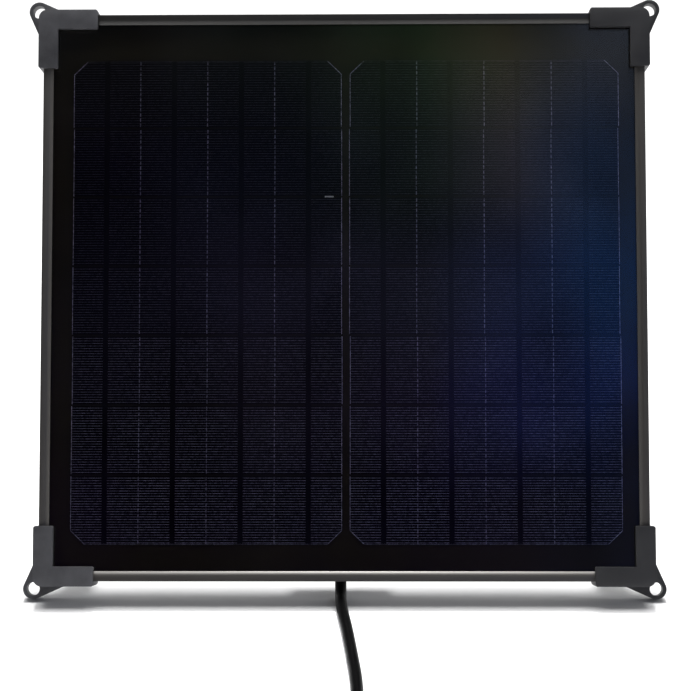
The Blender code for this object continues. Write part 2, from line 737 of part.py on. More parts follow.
# ---------------------------------------------------------------- rear stand
def pivot_bracket(name, side):
    """An angle on a side rail's rear flange, with a drilled lug for the stand."""
    base_front = FRAME_DEPTH + GAP
    base_rear = base_front + LUG_THICKNESS
    lug_rear = PIVOT_DEPTH + ARM_WIDTH / 2
    low, high = side * LUG_INSIDE, side * (LUG_INSIDE + LUG_THICKNESS)
    edge = side * (PANEL_WIDTH / 2 - 0.002)
    outline = [
        (low, base_front),
        (edge, base_front),
        (edge, base_rear),
        (high, base_rear),
        (high, lug_rear),
        (low, lug_rear),
    ]
    place = (0.0, 0.0, PIVOT_HEIGHT)
    obj = new_object(name, extruded(name, outline, BRACKET_HEIGHT), panel, anodised, place)
    bevel(obj, BRACKET_EDGE)
    beyond = side * 0.002
    hole_ends = [(low - beyond, PIVOT_DEPTH, 0.0), (high + beyond, PIVOT_DEPTH, 0.0)]
    hole_mesh = rod(f"{name}_hole", BOLT_HOLE_RADIUS, *hole_ends, 24)
    boolean(obj, new_object(f"{name}_hole", hole_mesh, panel, None, place, cutters), "DIFFERENCE")


def pivot_bolt(name, side):
    """A bolt through the lug, the arm and the knob, with its head inside."""
    pivot = (0.0, PIVOT_DEPTH, PIVOT_HEIGHT)
    head_out = LUG_INSIDE - GAP
    head_in = head_out - BOLT_HEAD_HEIGHT
    tip = KNOB_INSIDE + KNOB_HEIGHT - 0.001
    head_mesh = rod(name, BOLT_HEAD_RADIUS, (side * head_in, 0.0, 0.0), (side * head_out, 0.0, 0.0), 6)
    bolt = new_object(name, head_mesh, panel, zinc, pivot)
    shank_ends = [(side * (head_out - 0.002), 0.0, 0.0), (side * tip, 0.0, 0.0)]
    shank_mesh = rod(f"{name}_shank", BOLT_RADIUS, *shank_ends, 20)
    boolean(bolt, new_object(f"{name}_shank", shank_mesh, panel, None, pivot, cutters), "UNION")


def drilled(name, obj, axis, low, high, steps):
    """Drill a piece for its pivot bolt, along X from low to high."""
    hole_ends = [(low - 0.002, 0.0, 0.0), (high + 0.002, 0.0, 0.0)]
    hole_mesh = rod(f"{name}_hole", BOLT_HOLE_RADIUS, *hole_ends, steps)
    boolean(obj, new_object(f"{name}_hole", hole_mesh, axis, None, collection=cutters), "DIFFERENCE")


def pivot_knob(name, side):
    """A lobed plastic knob on the bolt, turning about the pivot axis."""
    axis = new_empty(f"{name}_axis", panel, (0.0, PIVOT_DEPTH, PIVOT_HEIGHT))
    outline = []
    steps = 5 * KNOB_LOBES
    for i in range(steps):
        angle = 2 * math.pi * i / steps
        reach = KNOB_RADIUS + KNOB_LOBE * math.cos(KNOB_LOBES * angle)
        outline.append((reach * math.cos(angle), reach * math.sin(angle)))
    low, high = sorted((side * KNOB_INSIDE, side * (KNOB_INSIDE + KNOB_HEIGHT)))
    knob = new_object(name, facing_side(name, outline, low, high), axis, black_plastic)
    bevel(knob, 0.0007, 1)
    drilled(name, knob, axis, low, high, 20)


def rear_stand():
    """Two arms on the pivots, joined by a foot bar that carries two rubber feet."""
    pivot = (0.0, PIVOT_DEPTH, PIVOT_HEIGHT)
    axis = new_empty("stand_axis", panel, pivot, (STAND_OPENING, 0.0, 0.0))
    half = ARM_WIDTH / 2
    outline = [*arc((0.0, 0.0), half, 0, 180, 12), *arc((0.0, -ARM_LENGTH), half, 180, 360, 12)]
    for name, side in (("stand_arm_left", -1), ("stand_arm_right", 1)):
        low, high = sorted((side * ARM_INSIDE, side * (ARM_INSIDE + ARM_THICKNESS)))
        arm = new_object(name, facing_side(name, outline, low, high), axis, anodised)
        bevel(arm, ARM_EDGE)
        drilled(name, arm, axis, low, high, 24)
    bar_end = ARM_INSIDE - GAP
    bar_mesh = rod("stand_foot_bar", FOOT_BAR_RADIUS, (-bar_end, 0.0, 0.0), (bar_end, 0.0, 0.0), 24)
    new_object("stand_foot_bar", bar_mesh, axis, anodised, (0.0, 0.0, -ARM_LENGTH))

    inner = FOOT_BAR_RADIUS + GAP
    end, edge = FOOT_LENGTH / 2, 0.001
    profile = [
        (inner, end),
        (FOOT_RADIUS - edge, end),
        (FOOT_RADIUS, end - edge),
        (FOOT_RADIUS, edge - end),
        (FOOT_RADIUS - edge, -end),
        (inner, -end),
    ]
    for name, side in (("rubber_foot_left", -1), ("rubber_foot_right", 1)):
        place = (side * (bar_end - FOOT_SETBACK - end), 0.0, -ARM_LENGTH)
        turned(name, profile, axis, soft_rubber, place, (0.0, math.pi / 2, 0.0), 32, True)


def stand_fittings():
    """Bracket, bolt and knob on each side."""
    for side_name, side in (("left", -1), ("right", 1)):
        pivot_bracket(f"pivot_bracket_{side_name}", side)
        pivot_bolt(f"pivot_bolt_{side_name}", side)
        pivot_knob(f"pivot_knob_{side_name}", side)


# ---------------------------------------------------------------- lead
def coil():
    """The outer shape of the coiled stretch, with chamfered edges."""
    inner, outer = COIL_MIDDLE_RADIUS - COIL_HALF_WIDTH, COIL_MIDDLE_RADIUS + COIL_HALF_WIDTH
    cut = CABLE_RADIUS
    profile = [
        (outer - cut, COIL_HEIGHT),
        (outer, COIL_HEIGHT - cut),
        (outer, cut),
        (outer - cut, 0.0),
        (inner + cut, 0.0),
        (inner, cut),
        (inner, COIL_HEIGHT - cut),
        (inner + cut, COIL_HEIGHT),
    ]
    turned("cable_coil", profile, None, cable_jacket, (*COIL_CENTRE, COIL_LIFT), steps=48, ring=True)


def coil_tie():
    """The strap round the coil's turns."""
    hole = (2 * COIL_HALF_WIDTH + 2 * TIE_CLEARANCE, COIL_HEIGHT + 2 * GAP)
    strap = (hole[0] + 2 * TIE_THICKNESS, hole[1] + 2 * TIE_THICKNESS)
    corner = CABLE_RADIUS * 0.55
    outer_edge = rounded_rectangle(*strap, corner + TIE_THICKNESS, 3)
    inner_edge = rounded_rectangle(*hole, corner, 3)
    mesh = facing_front("cable_tie", outer_edge, -TIE_WIDTH / 2, TIE_WIDTH / 2, [inner_edge])
    place = (
        COIL_CENTRE[0] + COIL_MIDDLE_RADIUS * math.cos(TIE_ANGLE),
        COIL_CENTRE[1] + COIL_MIDDLE_RADIUS * math.sin(TIE_ANGLE),
        COIL_LIFT + COIL_HEIGHT / 2,
    )
    tie = new_object("cable_tie", mesh, None, strap_fabric, place)
    tie.rotation_euler = (0.0, 0.0, TIE_ANGLE)


def lead():
    """The free lead: a tube to the coil, the coil, its tie, and a tube to the connector."""
    tube("cable_lead", LEAD_ROUTE, cable_jacket)
    tube("cable_tail", TAIL_ROUTE, cable_jacket)
    coil()
    coil_tie()


def connector():
    """The two-pole screw connector at the lead's end, along its own Z from the boot to the nose."""
    turn = (math.pi / 2, 0.0, PLUG_HEADING + math.pi / 2)
    axis = new_empty("connector_axis", None, PLUG_START, turn)
    boot_profile = [
        (0.0, 0.0200),
        (0.0066, 0.0200),
        (0.0068, 0.0185),
        (0.0060, 0.0100),
        (0.0050, 0.0030),
        (0.0046, 0.0),
        (0.0, 0.0),
    ]
    turned("connector_boot", boot_profile, axis, soft_rubber, steps=24)

    groove_low, groove_high, nose = 0.0390, 0.0410, 0.0475
    insert_profile = [
        (0.0, nose),
        (0.0050, nose),
        (0.0054, nose - 0.0005),
        (0.0054, groove_high),
        (0.0049, groove_high),
        (0.0049, groove_low),
        (0.0054, groove_low),
        (0.0054, 0.0370),
        (0.0066, 0.0370),
        (0.0066, 0.0352),
        (0.0056, 0.0352),
        (0.0056, 0.0313),
        (0.0076, 0.0313),
        (0.0076, 0.0208),
        (0.0072, 0.0203),
        (0.0, 0.0203),
    ]
    body = turned("connector_insert", insert_profile, axis, black_plastic, steps=28)
    for number, x in enumerate((-POLE_OFFSET, POLE_OFFSET)):
        ends = [(x, 0.0, nose - 0.0075), (x, 0.0, nose + 0.0025)]
        hole_mesh = rod(f"contact_{number}", POLE_RADIUS, *ends, 12)
        hole = new_object(f"contact_{number}", hole_mesh, axis, None, collection=cutters)
        boolean(body, hole, "DIFFERENCE")

    minor, major, height = 0.0007, 0.0057, (groove_low + groove_high) / 2
    section = []
    for i in range(8):
        angle = math.radians(45 * i)
        section.append((major + minor * math.sin(angle), height + minor * math.cos(angle)))
    turned("connector_o_ring", section, axis, seal_rubber, steps=24, ring=True)

    grip, bore, mouth, edge = 0.0087, 0.0060, 0.0073, 0.0005
    front, web, back = 0.0480, 0.0348, 0.0316
    collar_profile = [
        (mouth, front),
        (grip - edge, front),
        (grip, front - edge),
        (grip, back + edge),
        (grip - edge, back),
        (bore, back),
        (bore, web),
        (mouth, web),
    ]
    turned("coupling_ring", collar_profile, axis, black_plastic, steps=32, ring=True)


clear_scene()
parts = new_collection("fountain_pump_solar_panel")
cutters = new_collection("cutters")
anodised = new_material("anodised_aluminium", (0.045, 0.045, 0.047), 0.8, 0.42)
key_metal = new_material("key_aluminium", (0.55, 0.55, 0.56), 1.0, 0.45)
zinc = new_material("zinc_plated_steel", (0.60, 0.60, 0.58), 1.0, 0.35)
brass = new_material("brass", (0.70, 0.52, 0.25), 1.0, 0.35)
copper_ribbon = new_material("tinned_copper", (0.62, 0.60, 0.57), 1.0, 0.3)
dark_plastic = new_material("protector_plastic", (0.055, 0.055, 0.060), 0.0, 0.55)
black_plastic = new_material("black_plastic", (0.020, 0.020, 0.021), 0.0, 0.45)
soft_rubber = new_material("soft_rubber", (0.015, 0.015, 0.015), 0.0, 0.7)
seal_rubber = new_material("seal_rubber", (0.03, 0.03, 0.03), 0.0, 0.75)
clear_glass = new_material("clear_glass", (0.85, 0.88, 0.88), 0.0, 0.05, 0.25)
silicon = new_material("silicon_cell", (0.006, 0.007, 0.014), 0.2, 0.25)
black_film = new_material("black_film", (0.006, 0.006, 0.005), 0.0, 0.5)
cable_jacket = new_material("cable_jacket", (0.010, 0.010, 0.010), 0.0, 0.35)
strap_fabric = new_material("strap_fabric", (0.012, 0.012, 0.012), 0.0, 0.9)

panel = new_empty("panel_axes", None, (0.0, PANEL_SETBACK, PANEL_LIFT), (-LEAN, 0.0, 0.0))
frame_rails()
frame_corners()
laminate()
junction_box()
cable_gland()
stand_fittings()
rear_stand()
lead()
connector()
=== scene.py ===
"""Looks of the fountain pump's solar panel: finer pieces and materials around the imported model.

Units are metres, in the model's own frame. The panel's pieces are made square to the panel's
own axes and placed by PANEL: x across, y from the front face rearwards, z up the panel.
"""
import json
import math
import random

import bmesh
import bpy
from mathutils import Matrix, Vector


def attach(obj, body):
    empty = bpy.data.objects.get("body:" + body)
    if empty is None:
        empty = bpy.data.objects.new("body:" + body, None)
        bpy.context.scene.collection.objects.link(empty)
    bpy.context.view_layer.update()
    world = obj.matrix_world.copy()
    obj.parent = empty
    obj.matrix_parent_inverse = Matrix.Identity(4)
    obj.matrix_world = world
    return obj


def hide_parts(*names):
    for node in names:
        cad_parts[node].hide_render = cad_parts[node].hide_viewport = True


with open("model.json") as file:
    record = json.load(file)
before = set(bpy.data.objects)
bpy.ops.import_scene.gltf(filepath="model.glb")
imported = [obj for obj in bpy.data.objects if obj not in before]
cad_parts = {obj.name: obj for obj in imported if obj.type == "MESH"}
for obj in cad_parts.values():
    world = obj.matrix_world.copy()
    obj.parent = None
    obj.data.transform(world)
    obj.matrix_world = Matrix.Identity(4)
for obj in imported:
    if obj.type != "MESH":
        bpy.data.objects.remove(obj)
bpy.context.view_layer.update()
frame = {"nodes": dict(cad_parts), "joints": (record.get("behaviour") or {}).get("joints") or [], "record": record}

# ---------------------------------------------------------------- places read from the frame
MOUNTS = {mount["name"]: mount for mount in frame["record"]["mounts"]}
JOINTS = {joint["name"]: joint for joint in frame["joints"]}
REAR_AXIS = Vector(MOUNTS["rear_pad_bottom_left"]["axis"])
LEAN = math.atan2(-REAR_AXIS.z, REAR_AXIS.y)
PANEL_TURN = Matrix.Rotation(-LEAN, 4, "X")


def node_box(node, axes):
    """Lowest and highest corner of a model node, in the axes given by a matrix."""
    inverse = axes.inverted()
    corners = [inverse @ vertex.co for vertex in frame["nodes"][node].data.vertices]
    lowest = Vector(min(corner[i] for corner in corners) for i in range(3))
    highest = Vector(max(corner[i] for corner in corners) for i in range(3))
    return lowest, highest


RAIL_LOW = node_box("rail_bottom", PANEL_TURN)[0]
RAIL_HIGH = node_box("rail_top", PANEL_TURN)[1]
SIDE_LOW = node_box("rail_left", PANEL_TURN)[0]
PANEL = PANEL_TURN @ Matrix.Translation((0.0, RAIL_LOW.y, RAIL_LOW.z))
WIDTH = -2 * SIDE_LOW.x
HEIGHT = RAIL_HIGH.z - RAIL_LOW.z
DEPTH = RAIL_HIGH.y - RAIL_LOW.y
PIVOT = Vector(JOINTS["stand_fold"]["pos_m"])
RING_AXIS = Vector(JOINTS["coupling_ring_turn"]["axis"])

# ---------------------------------------------------------------- sizes of the finer pieces
GAP = 0.0003

LIP_FLAT = 0.0022
LIP_WIDTH = 0.0057
LIP_FALL = 0.0014
LIP_POWER = 2.3
LIP_STEPS = 20
LIP_THICKNESS = 0.0015
WALL = 0.0014
SHELF_FRONT = 0.0066
SHELF_REAR = 0.0078
SHELF_WIDTH = 0.0075
FLANGE_WIDTH = 0.012
FLANGE_THICKNESS = 0.0014
RAIL_EDGE = 0.00025
MITRE_GAP = 0.00015

PROTECTOR_OUTSIDE = 0.0029
PROTECTOR_ARM = 0.0112
PROTECTOR_REACH = 0.0345
PROTECTOR_FRONT = -0.0021
PROTECTOR_REAR = 0.0195
PROTECTOR_CORNER = 0.005
PROTECTOR_EDGE = 0.0006
PROTECTOR_EASE = 0.0009
LIP_CLEARANCE = 0.0062
RAIL_ROOM = 0.040
EAR_OFFSET = 0.0050
EAR_RADIUS = 0.0059
EAR_HOLE_RADIUS = 0.0038
EAR_FLARE = 0.0155
EAR_OVERLAP = 0.0006
EAR_FRONT = 0.0124
EAR_REAR = 0.0194
EAR_EDGE = 0.0006

BUSBARS = 4
BUSBAR_WIDTH = 0.0031
FINGERS_PER_STRIP = 26
FINGER_WIDTH = 0.00018
EDGE_LINE_WIDTH = 0.00030
PAD_WIDTH = 0.00050
PAD_SHARE = 0.72
PRINT_INSET = 0.0003
PRINT_THICKNESS = 0.00002
BUSBAR_THICKNESS = 0.00006
CELL_CHAMFER = 0.0080
CELL_WOBBLE = 0.0003
TAB_SIZE = (0.0052, 0.0001, 0.0008)

CABLE_RADIUS = 0.0033
TURN_PITCH = 0.0067
COIL_LAYERS = 4
COIL_TURNS = 17.25
COIL_OUTER = 0.0564
COIL_INNER = 0.0276
COIL_CENTRE = Vector((-0.048, -0.305, 0.0049))
COIL_POINTS_PER_TURN = 16
COIL_CLIMB = 0.22

BOX_WALL = 0.002
BOX_CORNER = 0.004
BOX_EDGE = 0.0004
LID_EDGE = 0.0008
SCREW_INSET = 0.0062
SCREW_RADIUS = 0.0021
WELL_DEPTH = 0.001
LATCH_SIZE = (0.0012, 0.0090, 0.0100)
RIBBON_SLOT = (0.026, 0.007)
GLAND_RADIUS = 0.006
BRACKET_THICKNESS = 0.002
BRACKET_SCREW_RISE = 0.008
HEX_CHAMFER = 0.0007
BOLT_RADIUS = 0.0025
BOLT_HOLE_RADIUS = 0.0028
BOLT_HEAD_HEIGHT = 0.0035
ARM_GROOVE = (0.0004, 0.0032)
KNOB_LOBES = 8
KNOB_LOBE = 0.0014
FOOT_BAR_RADIUS = 0.004
TIE_ANGLE = math.radians(135.0)
TIE_THICKNESS = 0.0011
POLE_OFFSET = 0.0022
POLE_RADIUS = 0.0010

LEAD_ROUTE = [
    (-0.0020, -0.0275, 0.0862),
    (-0.0020, -0.0306, 0.0772),
    (-0.0020, -0.0325, 0.0640),
    (-0.0020, -0.0328, 0.0490),
    (-0.0020, -0.0333, 0.0345),
    (-0.0020, -0.0365, 0.0210),
    (-0.0020, -0.0435, 0.0105),
    (-0.0019, -0.0545, 0.0046),
    (-0.0014, -0.0680, 0.0035),
    (-0.0002, -0.0820, 0.0035),
    (0.0016, -0.0980, 0.0035),
    (0.0038, -0.1210, 0.0035),
    (0.0058, -0.1440, 0.0035),
    (0.0074, -0.1640, 0.0035),
    (0.0083, -0.1840, 0.0035),
    (0.0086, -0.2080, 0.0036),
    (0.0086, -0.2400, 0.0043),
    (0.0086, -0.2760, 0.0050),
]
TAIL_ROUTE = [
    (-0.0640, -0.3616, 0.0250),
    (-0.0778, -0.3616, 0.0248),
    (-0.0860, -0.3615, 0.0236),
    (-0.0960, -0.3606, 0.0196),
    (-0.1060, -0.3586, 0.0138),
    (-0.1150, -0.3558, 0.0096),
    (-0.1240, -0.3525, 0.0088),
]

# ---------------------------------------------------------------- camera, floor and lamps
LENS = 97.84
SENSOR_WIDTH = 36.0
CAMERA_PLACE = (0.014514, -1.068369, 0.423215)
CAMERA_DEGREES = (75.06189, 0.30557, 0.84245)

FLOOR_REACH = 12.0

SPOT_REACH = 12.0
SPOT_TILT = LEAN - math.radians(2.0)
SPOT_RADIANCE = 0.98
SPOT_SOFTNESS = math.radians(1.6)
SPOT_CONE = math.radians(34.0)
SPOT_BLEND = 0.12
SPOT_SHIFT = -0.055
SPOT_AIM = Vector((0.0, 2.9, 0.0))

OVERHEAD_SIZE = (1.9, 1.26)
OVERHEAD_RISE = math.radians(92.5)
OVERHEAD_REACH = 2.0
OVERHEAD_RADIANCE = 6.4

# what the glass mirrors: how high its bands of tint stand, and for each column how far across it
# stands and its tints from low to high
TINT_SPAN = (0.30, 0.64)
TINT_HEIGHTS = (0.07, 0.28, 0.49, 0.71, 0.96)
TINT_COLUMNS = [
    (-0.140, [(0.008, 0.002, 0.023), (0.019, 0.015, 0.038), (0.017, 0.015, 0.036),
              (0.013, 0.011, 0.027), (0.030, 0.030, 0.034)]),
    (-0.060, [(0.011, 0.008, 0.027), (0.030, 0.023, 0.050), (0.050, 0.046, 0.100),
              (0.038, 0.046, 0.087), (0.055, 0.070, 0.070)]),
    (0.035, [(0.008, 0.004, 0.030), (0.030, 0.023, 0.065), (0.070, 0.075, 0.138),
             (0.065, 0.100, 0.087), (0.087, 0.145, 0.080)]),
    (0.086, [(0.019, 0.014, 0.050), (0.050, 0.066, 0.290), (0.080, 0.115, 0.320),
             (0.140, 0.138, 0.180), (0.210, 0.205, 0.138)]),
    (0.135, [(0.026, 0.038, 0.120), (0.034, 0.080, 0.350), (0.038, 0.130, 0.430),
             (0.090, 0.170, 0.390), (0.190, 0.220, 0.290)]),
]

SIDES = (("left", -1), ("right", 1))
ENDS = (("bottom", 1), ("top", -1))
CORNERS = [(side, end) for side in (-1, 1) for end in (-1, 1)]


def new_object(name, data):
    """An object in the scene."""
    made = bpy.data.objects.new(name, data)
    bpy.context.scene.collection.objects.link(made)
    return made


def moved(x=0.0, y=0.0, z=0.0):
    """The matrix of a move."""
    return Matrix.Translation((x, y, z))


def rotated(degrees, axis):
    """The matrix of a turn about an axis."""
    return Matrix.Rotation(math.radians(degrees), 4, axis)


def make_camera():
    """The camera, in front of the panel and a little above it."""
    data = bpy.data.cameras.new("camera")
    data.sensor_width = SENSOR_WIDTH
    data.lens = LENS
    camera = new_object("camera", data)
    camera.location = CAMERA_PLACE
    camera.rotation_euler = tuple(math.radians(angle) for angle in CAMERA_DEGREES)
    bpy.context.scene.camera = camera


# ---------------------------------------------------------------- material helpers
def add(tree, kind, inputs=None, **settings):
    """A shader node. inputs sets or links its sockets, by name or number."""
    node = tree.nodes.new(kind)
    for key, value in settings.items():
        setattr(node, key, value)
    for key, value in (inputs or {}).items():
        if isinstance(value, bpy.types.NodeSocket):
            tree.links.new(value, node.inputs[key])
        else:
            node.inputs[key].default_value = value
    return node


def principled(name, colour, roughness, metallic=0.0, **sockets):
    """A Principled material with plain values, and its node tree and shader."""
    material = bpy.data.materials.new(name)
    material.use_nodes = True
    shader = material.node_tree.nodes["Principled BSDF"]
    shader.inputs["Base Color"].default_value = (*colour, 1.0)
    shader.inputs["Roughness"].default_value = roughness
    shader.inputs["Metallic"].default_value = metallic
    for key, value in sockets.items():
        shader.inputs[key.replace("_", " ")].default_value = value
    return material, material.node_tree, shader


def object_coords(tree, stretch=(1.0, 1.0, 1.0)):
    """The object's own coordinates, stretched along its axes."""
    coords = add(tree, "ShaderNodeTexCoord").outputs["Object"]
    return add(tree, "ShaderNodeMapping", {"Vector": coords, "Scale": stretch}).outputs[0]


def noise(tree, vector, scale, detail=4.0, roughness=0.55):
    """Fractal noise about 0.5."""
    inputs = {"Vector": vector, "Scale": scale, "Detail": detail, "Roughness": roughness}
    return add(tree, "ShaderNodeTexNoise", inputs).outputs["Fac"]


def spread(tree, value, low, high, start=0.3, end=0.7):
    """A value between start and end as a number between low and high."""
    inputs = {"Value": value, "From Min": start, "From Max": end, "To Min": low, "To Max": high}
    return add(tree, "ShaderNodeMapRange", inputs).outputs["Result"]


def between(tree, factor, first, second):
    """A colour between two colours."""
    first, second = [(*tone, 1.0) if isinstance(tone, tuple) else tone for tone in (first, second)]
    inputs = {"Factor": factor, 6: first, 7: second}
    return add(tree, "ShaderNodeMix", inputs, data_type="RGBA").outputs[2]


def colour_by(tree, shader, tone, *layers):
    """The shader's colour: a tone, mixed towards another one by each (factor, tone)."""
    for factor, other in layers:
        tone = between(tree, factor, tone, other)
    tree.links.new(tone, shader.inputs["Base Color"])


def roughen(tree, shader, value, least, most):
    """The shader's roughness from a value."""
    tree.links.new(spread(tree, value, least, most), shader.inputs["Roughness"])


def bump(tree, shader, height, distance, strength=1.0):
    """Fine relief on the shader's normal."""
    node = add(tree, "ShaderNodeBump", {"Height": height, "Distance": distance, "Strength": strength})
    tree.links.new(node.outputs["Normal"], shader.inputs["Normal"])


# ---------------------------------------------------------------- materials
def mottled(name, colour, pale, roughness, cloud, swing, relief, metallic=0.0, onset=(0.3, 0.7), **sockets):
    """A surface clouded between two colours.

    cloud holds its noise's scale, detail and roughness, onset where the second colour starts and
    ends, swing how far the roughness goes down and up, and relief the scale, detail, height and
    strength of its bumps.
    """
    material, tree, shader = principled(name, colour, roughness, metallic, **sockets)
    coords = object_coords(tree)
    clouds = noise(tree, coords, *cloud)
    colour_by(tree, shader, colour, (spread(tree, clouds, 0.0, 1.0, *onset), pale))
    roughen(tree, shader, clouds, roughness - swing[0], roughness + swing[1])
    scale, detail, height, strength = relief
    bump(tree, shader, noise(tree, coords, scale, detail), height, strength)
    return material


def rubber(name, colour, pale, roughness=0.62):
    """Soft black rubber with a dusty bloom."""
    cloud, relief = (120.0, 6.0, 0.7), (900.0, 3.0, 0.00005, 1.0)
    return mottled(name, colour, pale, roughness, cloud, (0.08, 0.12), relief, onset=(0.45, 0.75))


def cable_jacket():
    """Extruded PVC jacket, slightly glossy, with faint rings from winding."""
    colour, pale = (0.0005, 0.0005, 0.0006), (0.0010, 0.0010, 0.0012)
    cloud, relief = (90.0, 5.0, 0.65), (420.0, 3.0, 0.00006, 0.7)
    return mottled("cable_jacket", colour, pale, 0.42, cloud, (0.06, 0.10), relief, Specular_IOR_Level=0.04)


def bare_metal(name, colour, dull, roughness):
    """Plated or cast metal with a mottled surface."""
    cloud, relief = (140.0, 5.0, 0.6), (1400.0, 3.0, 0.00002, 1.0)
    return mottled(name, colour, dull, roughness, cloud, (0.08, 0.1), relief, metallic=1.0)


def laminate_film(name, colour, pale, roughness, gloss):
    """Laminated film with faint clouding."""
    cloud, relief = (30.0, 6.0, 0.65), (260.0, 4.0, 0.00004, 0.5)
    return mottled(name, colour, pale, roughness, cloud, (0.06, 0.08), relief, Specular_IOR_Level=gloss)


def anodised_metal(name, colour, worn, metallic, roughness):
    """Black anodised extrusion with fine draw lines along its own X."""
    material, tree, shader = principled(name, colour, roughness, metallic)
    lines = noise(tree, object_coords(tree, (6.0, 420.0, 420.0)), 1.0, 3.0)
    cloud = noise(tree, object_coords(tree), 60.0, 4.0)
    layers = [(spread(tree, lines, 0.0, 1.0), worn), (spread(tree, cloud, 0.0, 0.35), worn)]
    colour_by(tree, shader, colour, *layers)
    roughen(tree, shader, lines, roughness - 0.03, roughness + 0.05)
    bump(tree, shader, lines, 0.00001, 0.4)
    return material


def moulded_plastic(name, colour, pale, roughness, blotch=0.5):
    """Injection moulded plastic: a fine spark-eroded grain and faint flow clouds."""
    material, tree, shader = principled(name, colour, roughness)
    coords = object_coords(tree)
    cloud = noise(tree, coords, 45.0, 5.0, 0.6)
    specks = noise(tree, coords, 1800.0, 2.0)
    layers = [(spread(tree, cloud, 0.0, blotch), pale), (spread(tree, specks, 0.0, 0.35), pale)]
    colour_by(tree, shader, colour, *layers)
    roughen(tree, shader, cloud, roughness - 0.05, roughness + 0.07)
    bump(tree, shader, specks, 0.00004)
    return material


def silicon():
    """Textured black cell: almost no reflection, blue in the grain's clouds."""
    colour, blue, dark = (0.0003, 0.0003, 0.0009), (0.0005, 0.0005, 0.0018), (0.0001, 0.0001, 0.0004)
    material, tree, shader = principled("silicon", colour, 0.6, Specular_IOR_Level=0.0)
    coords = object_coords(tree)
    cloud = noise(tree, coords, 22.0, 3.0)
    grain = noise(tree, coords, 1500.0, 2.0)
    layers = [(spread(tree, cloud, 0.0, 1.0), blue), (spread(tree, grain, 0.0, 0.4), dark)]
    colour_by(tree, shader, colour, *layers)
    bump(tree, shader, grain, 0.00001)
    return material


def printed_silver(name, share):
    """Fired silver paste, broken up along each line. share scales how bright it is; row by row it paints the
    floor's reflection.
    """
    colour = tuple(share * part for part in (0.45, 0.42, 0.56))
    dull = tuple(share * part for part in (0.10, 0.09, 0.13))
    material, tree, shader = principled(name, colour, 0.33, 0.97)
    grain = noise(tree, object_coords(tree), 700.0, 4.0, 0.75)
    colour_by(tree, shader, dull, (spread(tree, grain, 0.0, 1.0, 0.40, 0.62), colour))
    return material


def busbar_coat():
    """Black coated ribbon, slightly warmer than the cell."""
    colour, pale = (0.0005, 0.0005, 0.0009), (0.0009, 0.0009, 0.0016)
    material, tree, shader = principled("busbar_coat", colour, 0.6, Specular_IOR_Level=0.0)
    streaks = noise(tree, object_coords(tree, (900.0, 1.0, 30.0)), 1.0, 3.0)
    colour_by(tree, shader, colour, (spread(tree, streaks, 0.0, 1.0), pale))
    return material


def woven_strap():
    """Hook-and-loop strap: a fine weave under short loops."""
    colour, pale = (0.010, 0.010, 0.011), (0.030, 0.030, 0.032)
    material, tree, shader = principled("woven_strap", colour, 0.9, Sheen_Weight=0.4)
    fuzz = noise(tree, object_coords(tree), 1600.0, 4.0, 0.7)
    colour_by(tree, shader, colour, (spread(tree, fuzz, 0.0, 1.0), pale))
    bump(tree, shader, fuzz, 0.00015)
    return material


def clear_glass():
    """Low-iron glass. Lamps shine through it onto the cells."""
    colour = (0.97, 0.985, 0.98)
    material, tree, shader = principled("clear_glass", colour, 0.0, Transmission_Weight=1.0, IOR=1.5)
    path = add(tree, "ShaderNodeLightPath").outputs["Is Shadow Ray"]
    open_air = add(tree, "ShaderNodeBsdfTransparent", {"Color": (0.92, 0.93, 0.93, 1.0)})
    parts = {0: path, 1: shader.outputs["BSDF"], 2: open_air.outputs["BSDF"]}
    mix = add(tree, "ShaderNodeMixShader", parts)
    tree.links.new(mix.outputs["Shader"], tree.nodes["Material Output"].inputs["Surface"])
    return material


ANODISED = anodised_metal("anodised_metal", (0.055, 0.051, 0.048), (0.073, 0.069, 0.065), 0.50, 0.36)
# The top rail's copy of the same metal is darker and less metallic: painted shade, standing in for the dim
# surroundings its lip mirrors.
PAINTED_SHADE_ANODISED = anodised_metal(
    "anodised_metal_top_painted_shade", (0.020, 0.019, 0.018), (0.032, 0.031, 0.029), 0.30, 0.31)
KEY_METAL = bare_metal("key_metal", (0.55, 0.55, 0.56), (0.40, 0.40, 0.41), 0.45)
ZINC = bare_metal("zinc_plate", (0.62, 0.61, 0.58), (0.42, 0.41, 0.38), 0.32)
BRASS = bare_metal("brass", (0.70, 0.52, 0.25), (0.48, 0.34, 0.16), 0.35)
TINNED = bare_metal("tinned_copper", (0.62, 0.60, 0.57), (0.45, 0.43, 0.41), 0.3)
# One plastic in two copies with light and shade painted in: lighter for the left protectors, where more light
# falls, darker for the right ones.
PROTECTOR_LIGHT_AND_SHADE_TONES = {
    "left": ("protector_plastic", (0.012, 0.012, 0.014), (0.056, 0.056, 0.062)),
    "right": ("darker_protector_plastic", (0.002, 0.002, 0.003), (0.014, 0.014, 0.016)),
}
PROTECTOR_PAINTED_LIGHT_AND_SHADE = {side: moulded_plastic(*tones, 0.55, 1.0) for side, tones in PROTECTOR_LIGHT_AND_SHADE_TONES.items()}
BLACK_PLASTIC = moulded_plastic("black_plastic", (0.013, 0.013, 0.014), (0.024, 0.024, 0.025), 0.45)
SOFT_RUBBER = rubber("soft_rubber", (0.010, 0.010, 0.010), (0.026, 0.026, 0.026))
SEAL_RUBBER = rubber("seal_rubber", (0.022, 0.022, 0.022), (0.045, 0.045, 0.044), 0.7)
JACKET = cable_jacket()
SILICON = silicon()
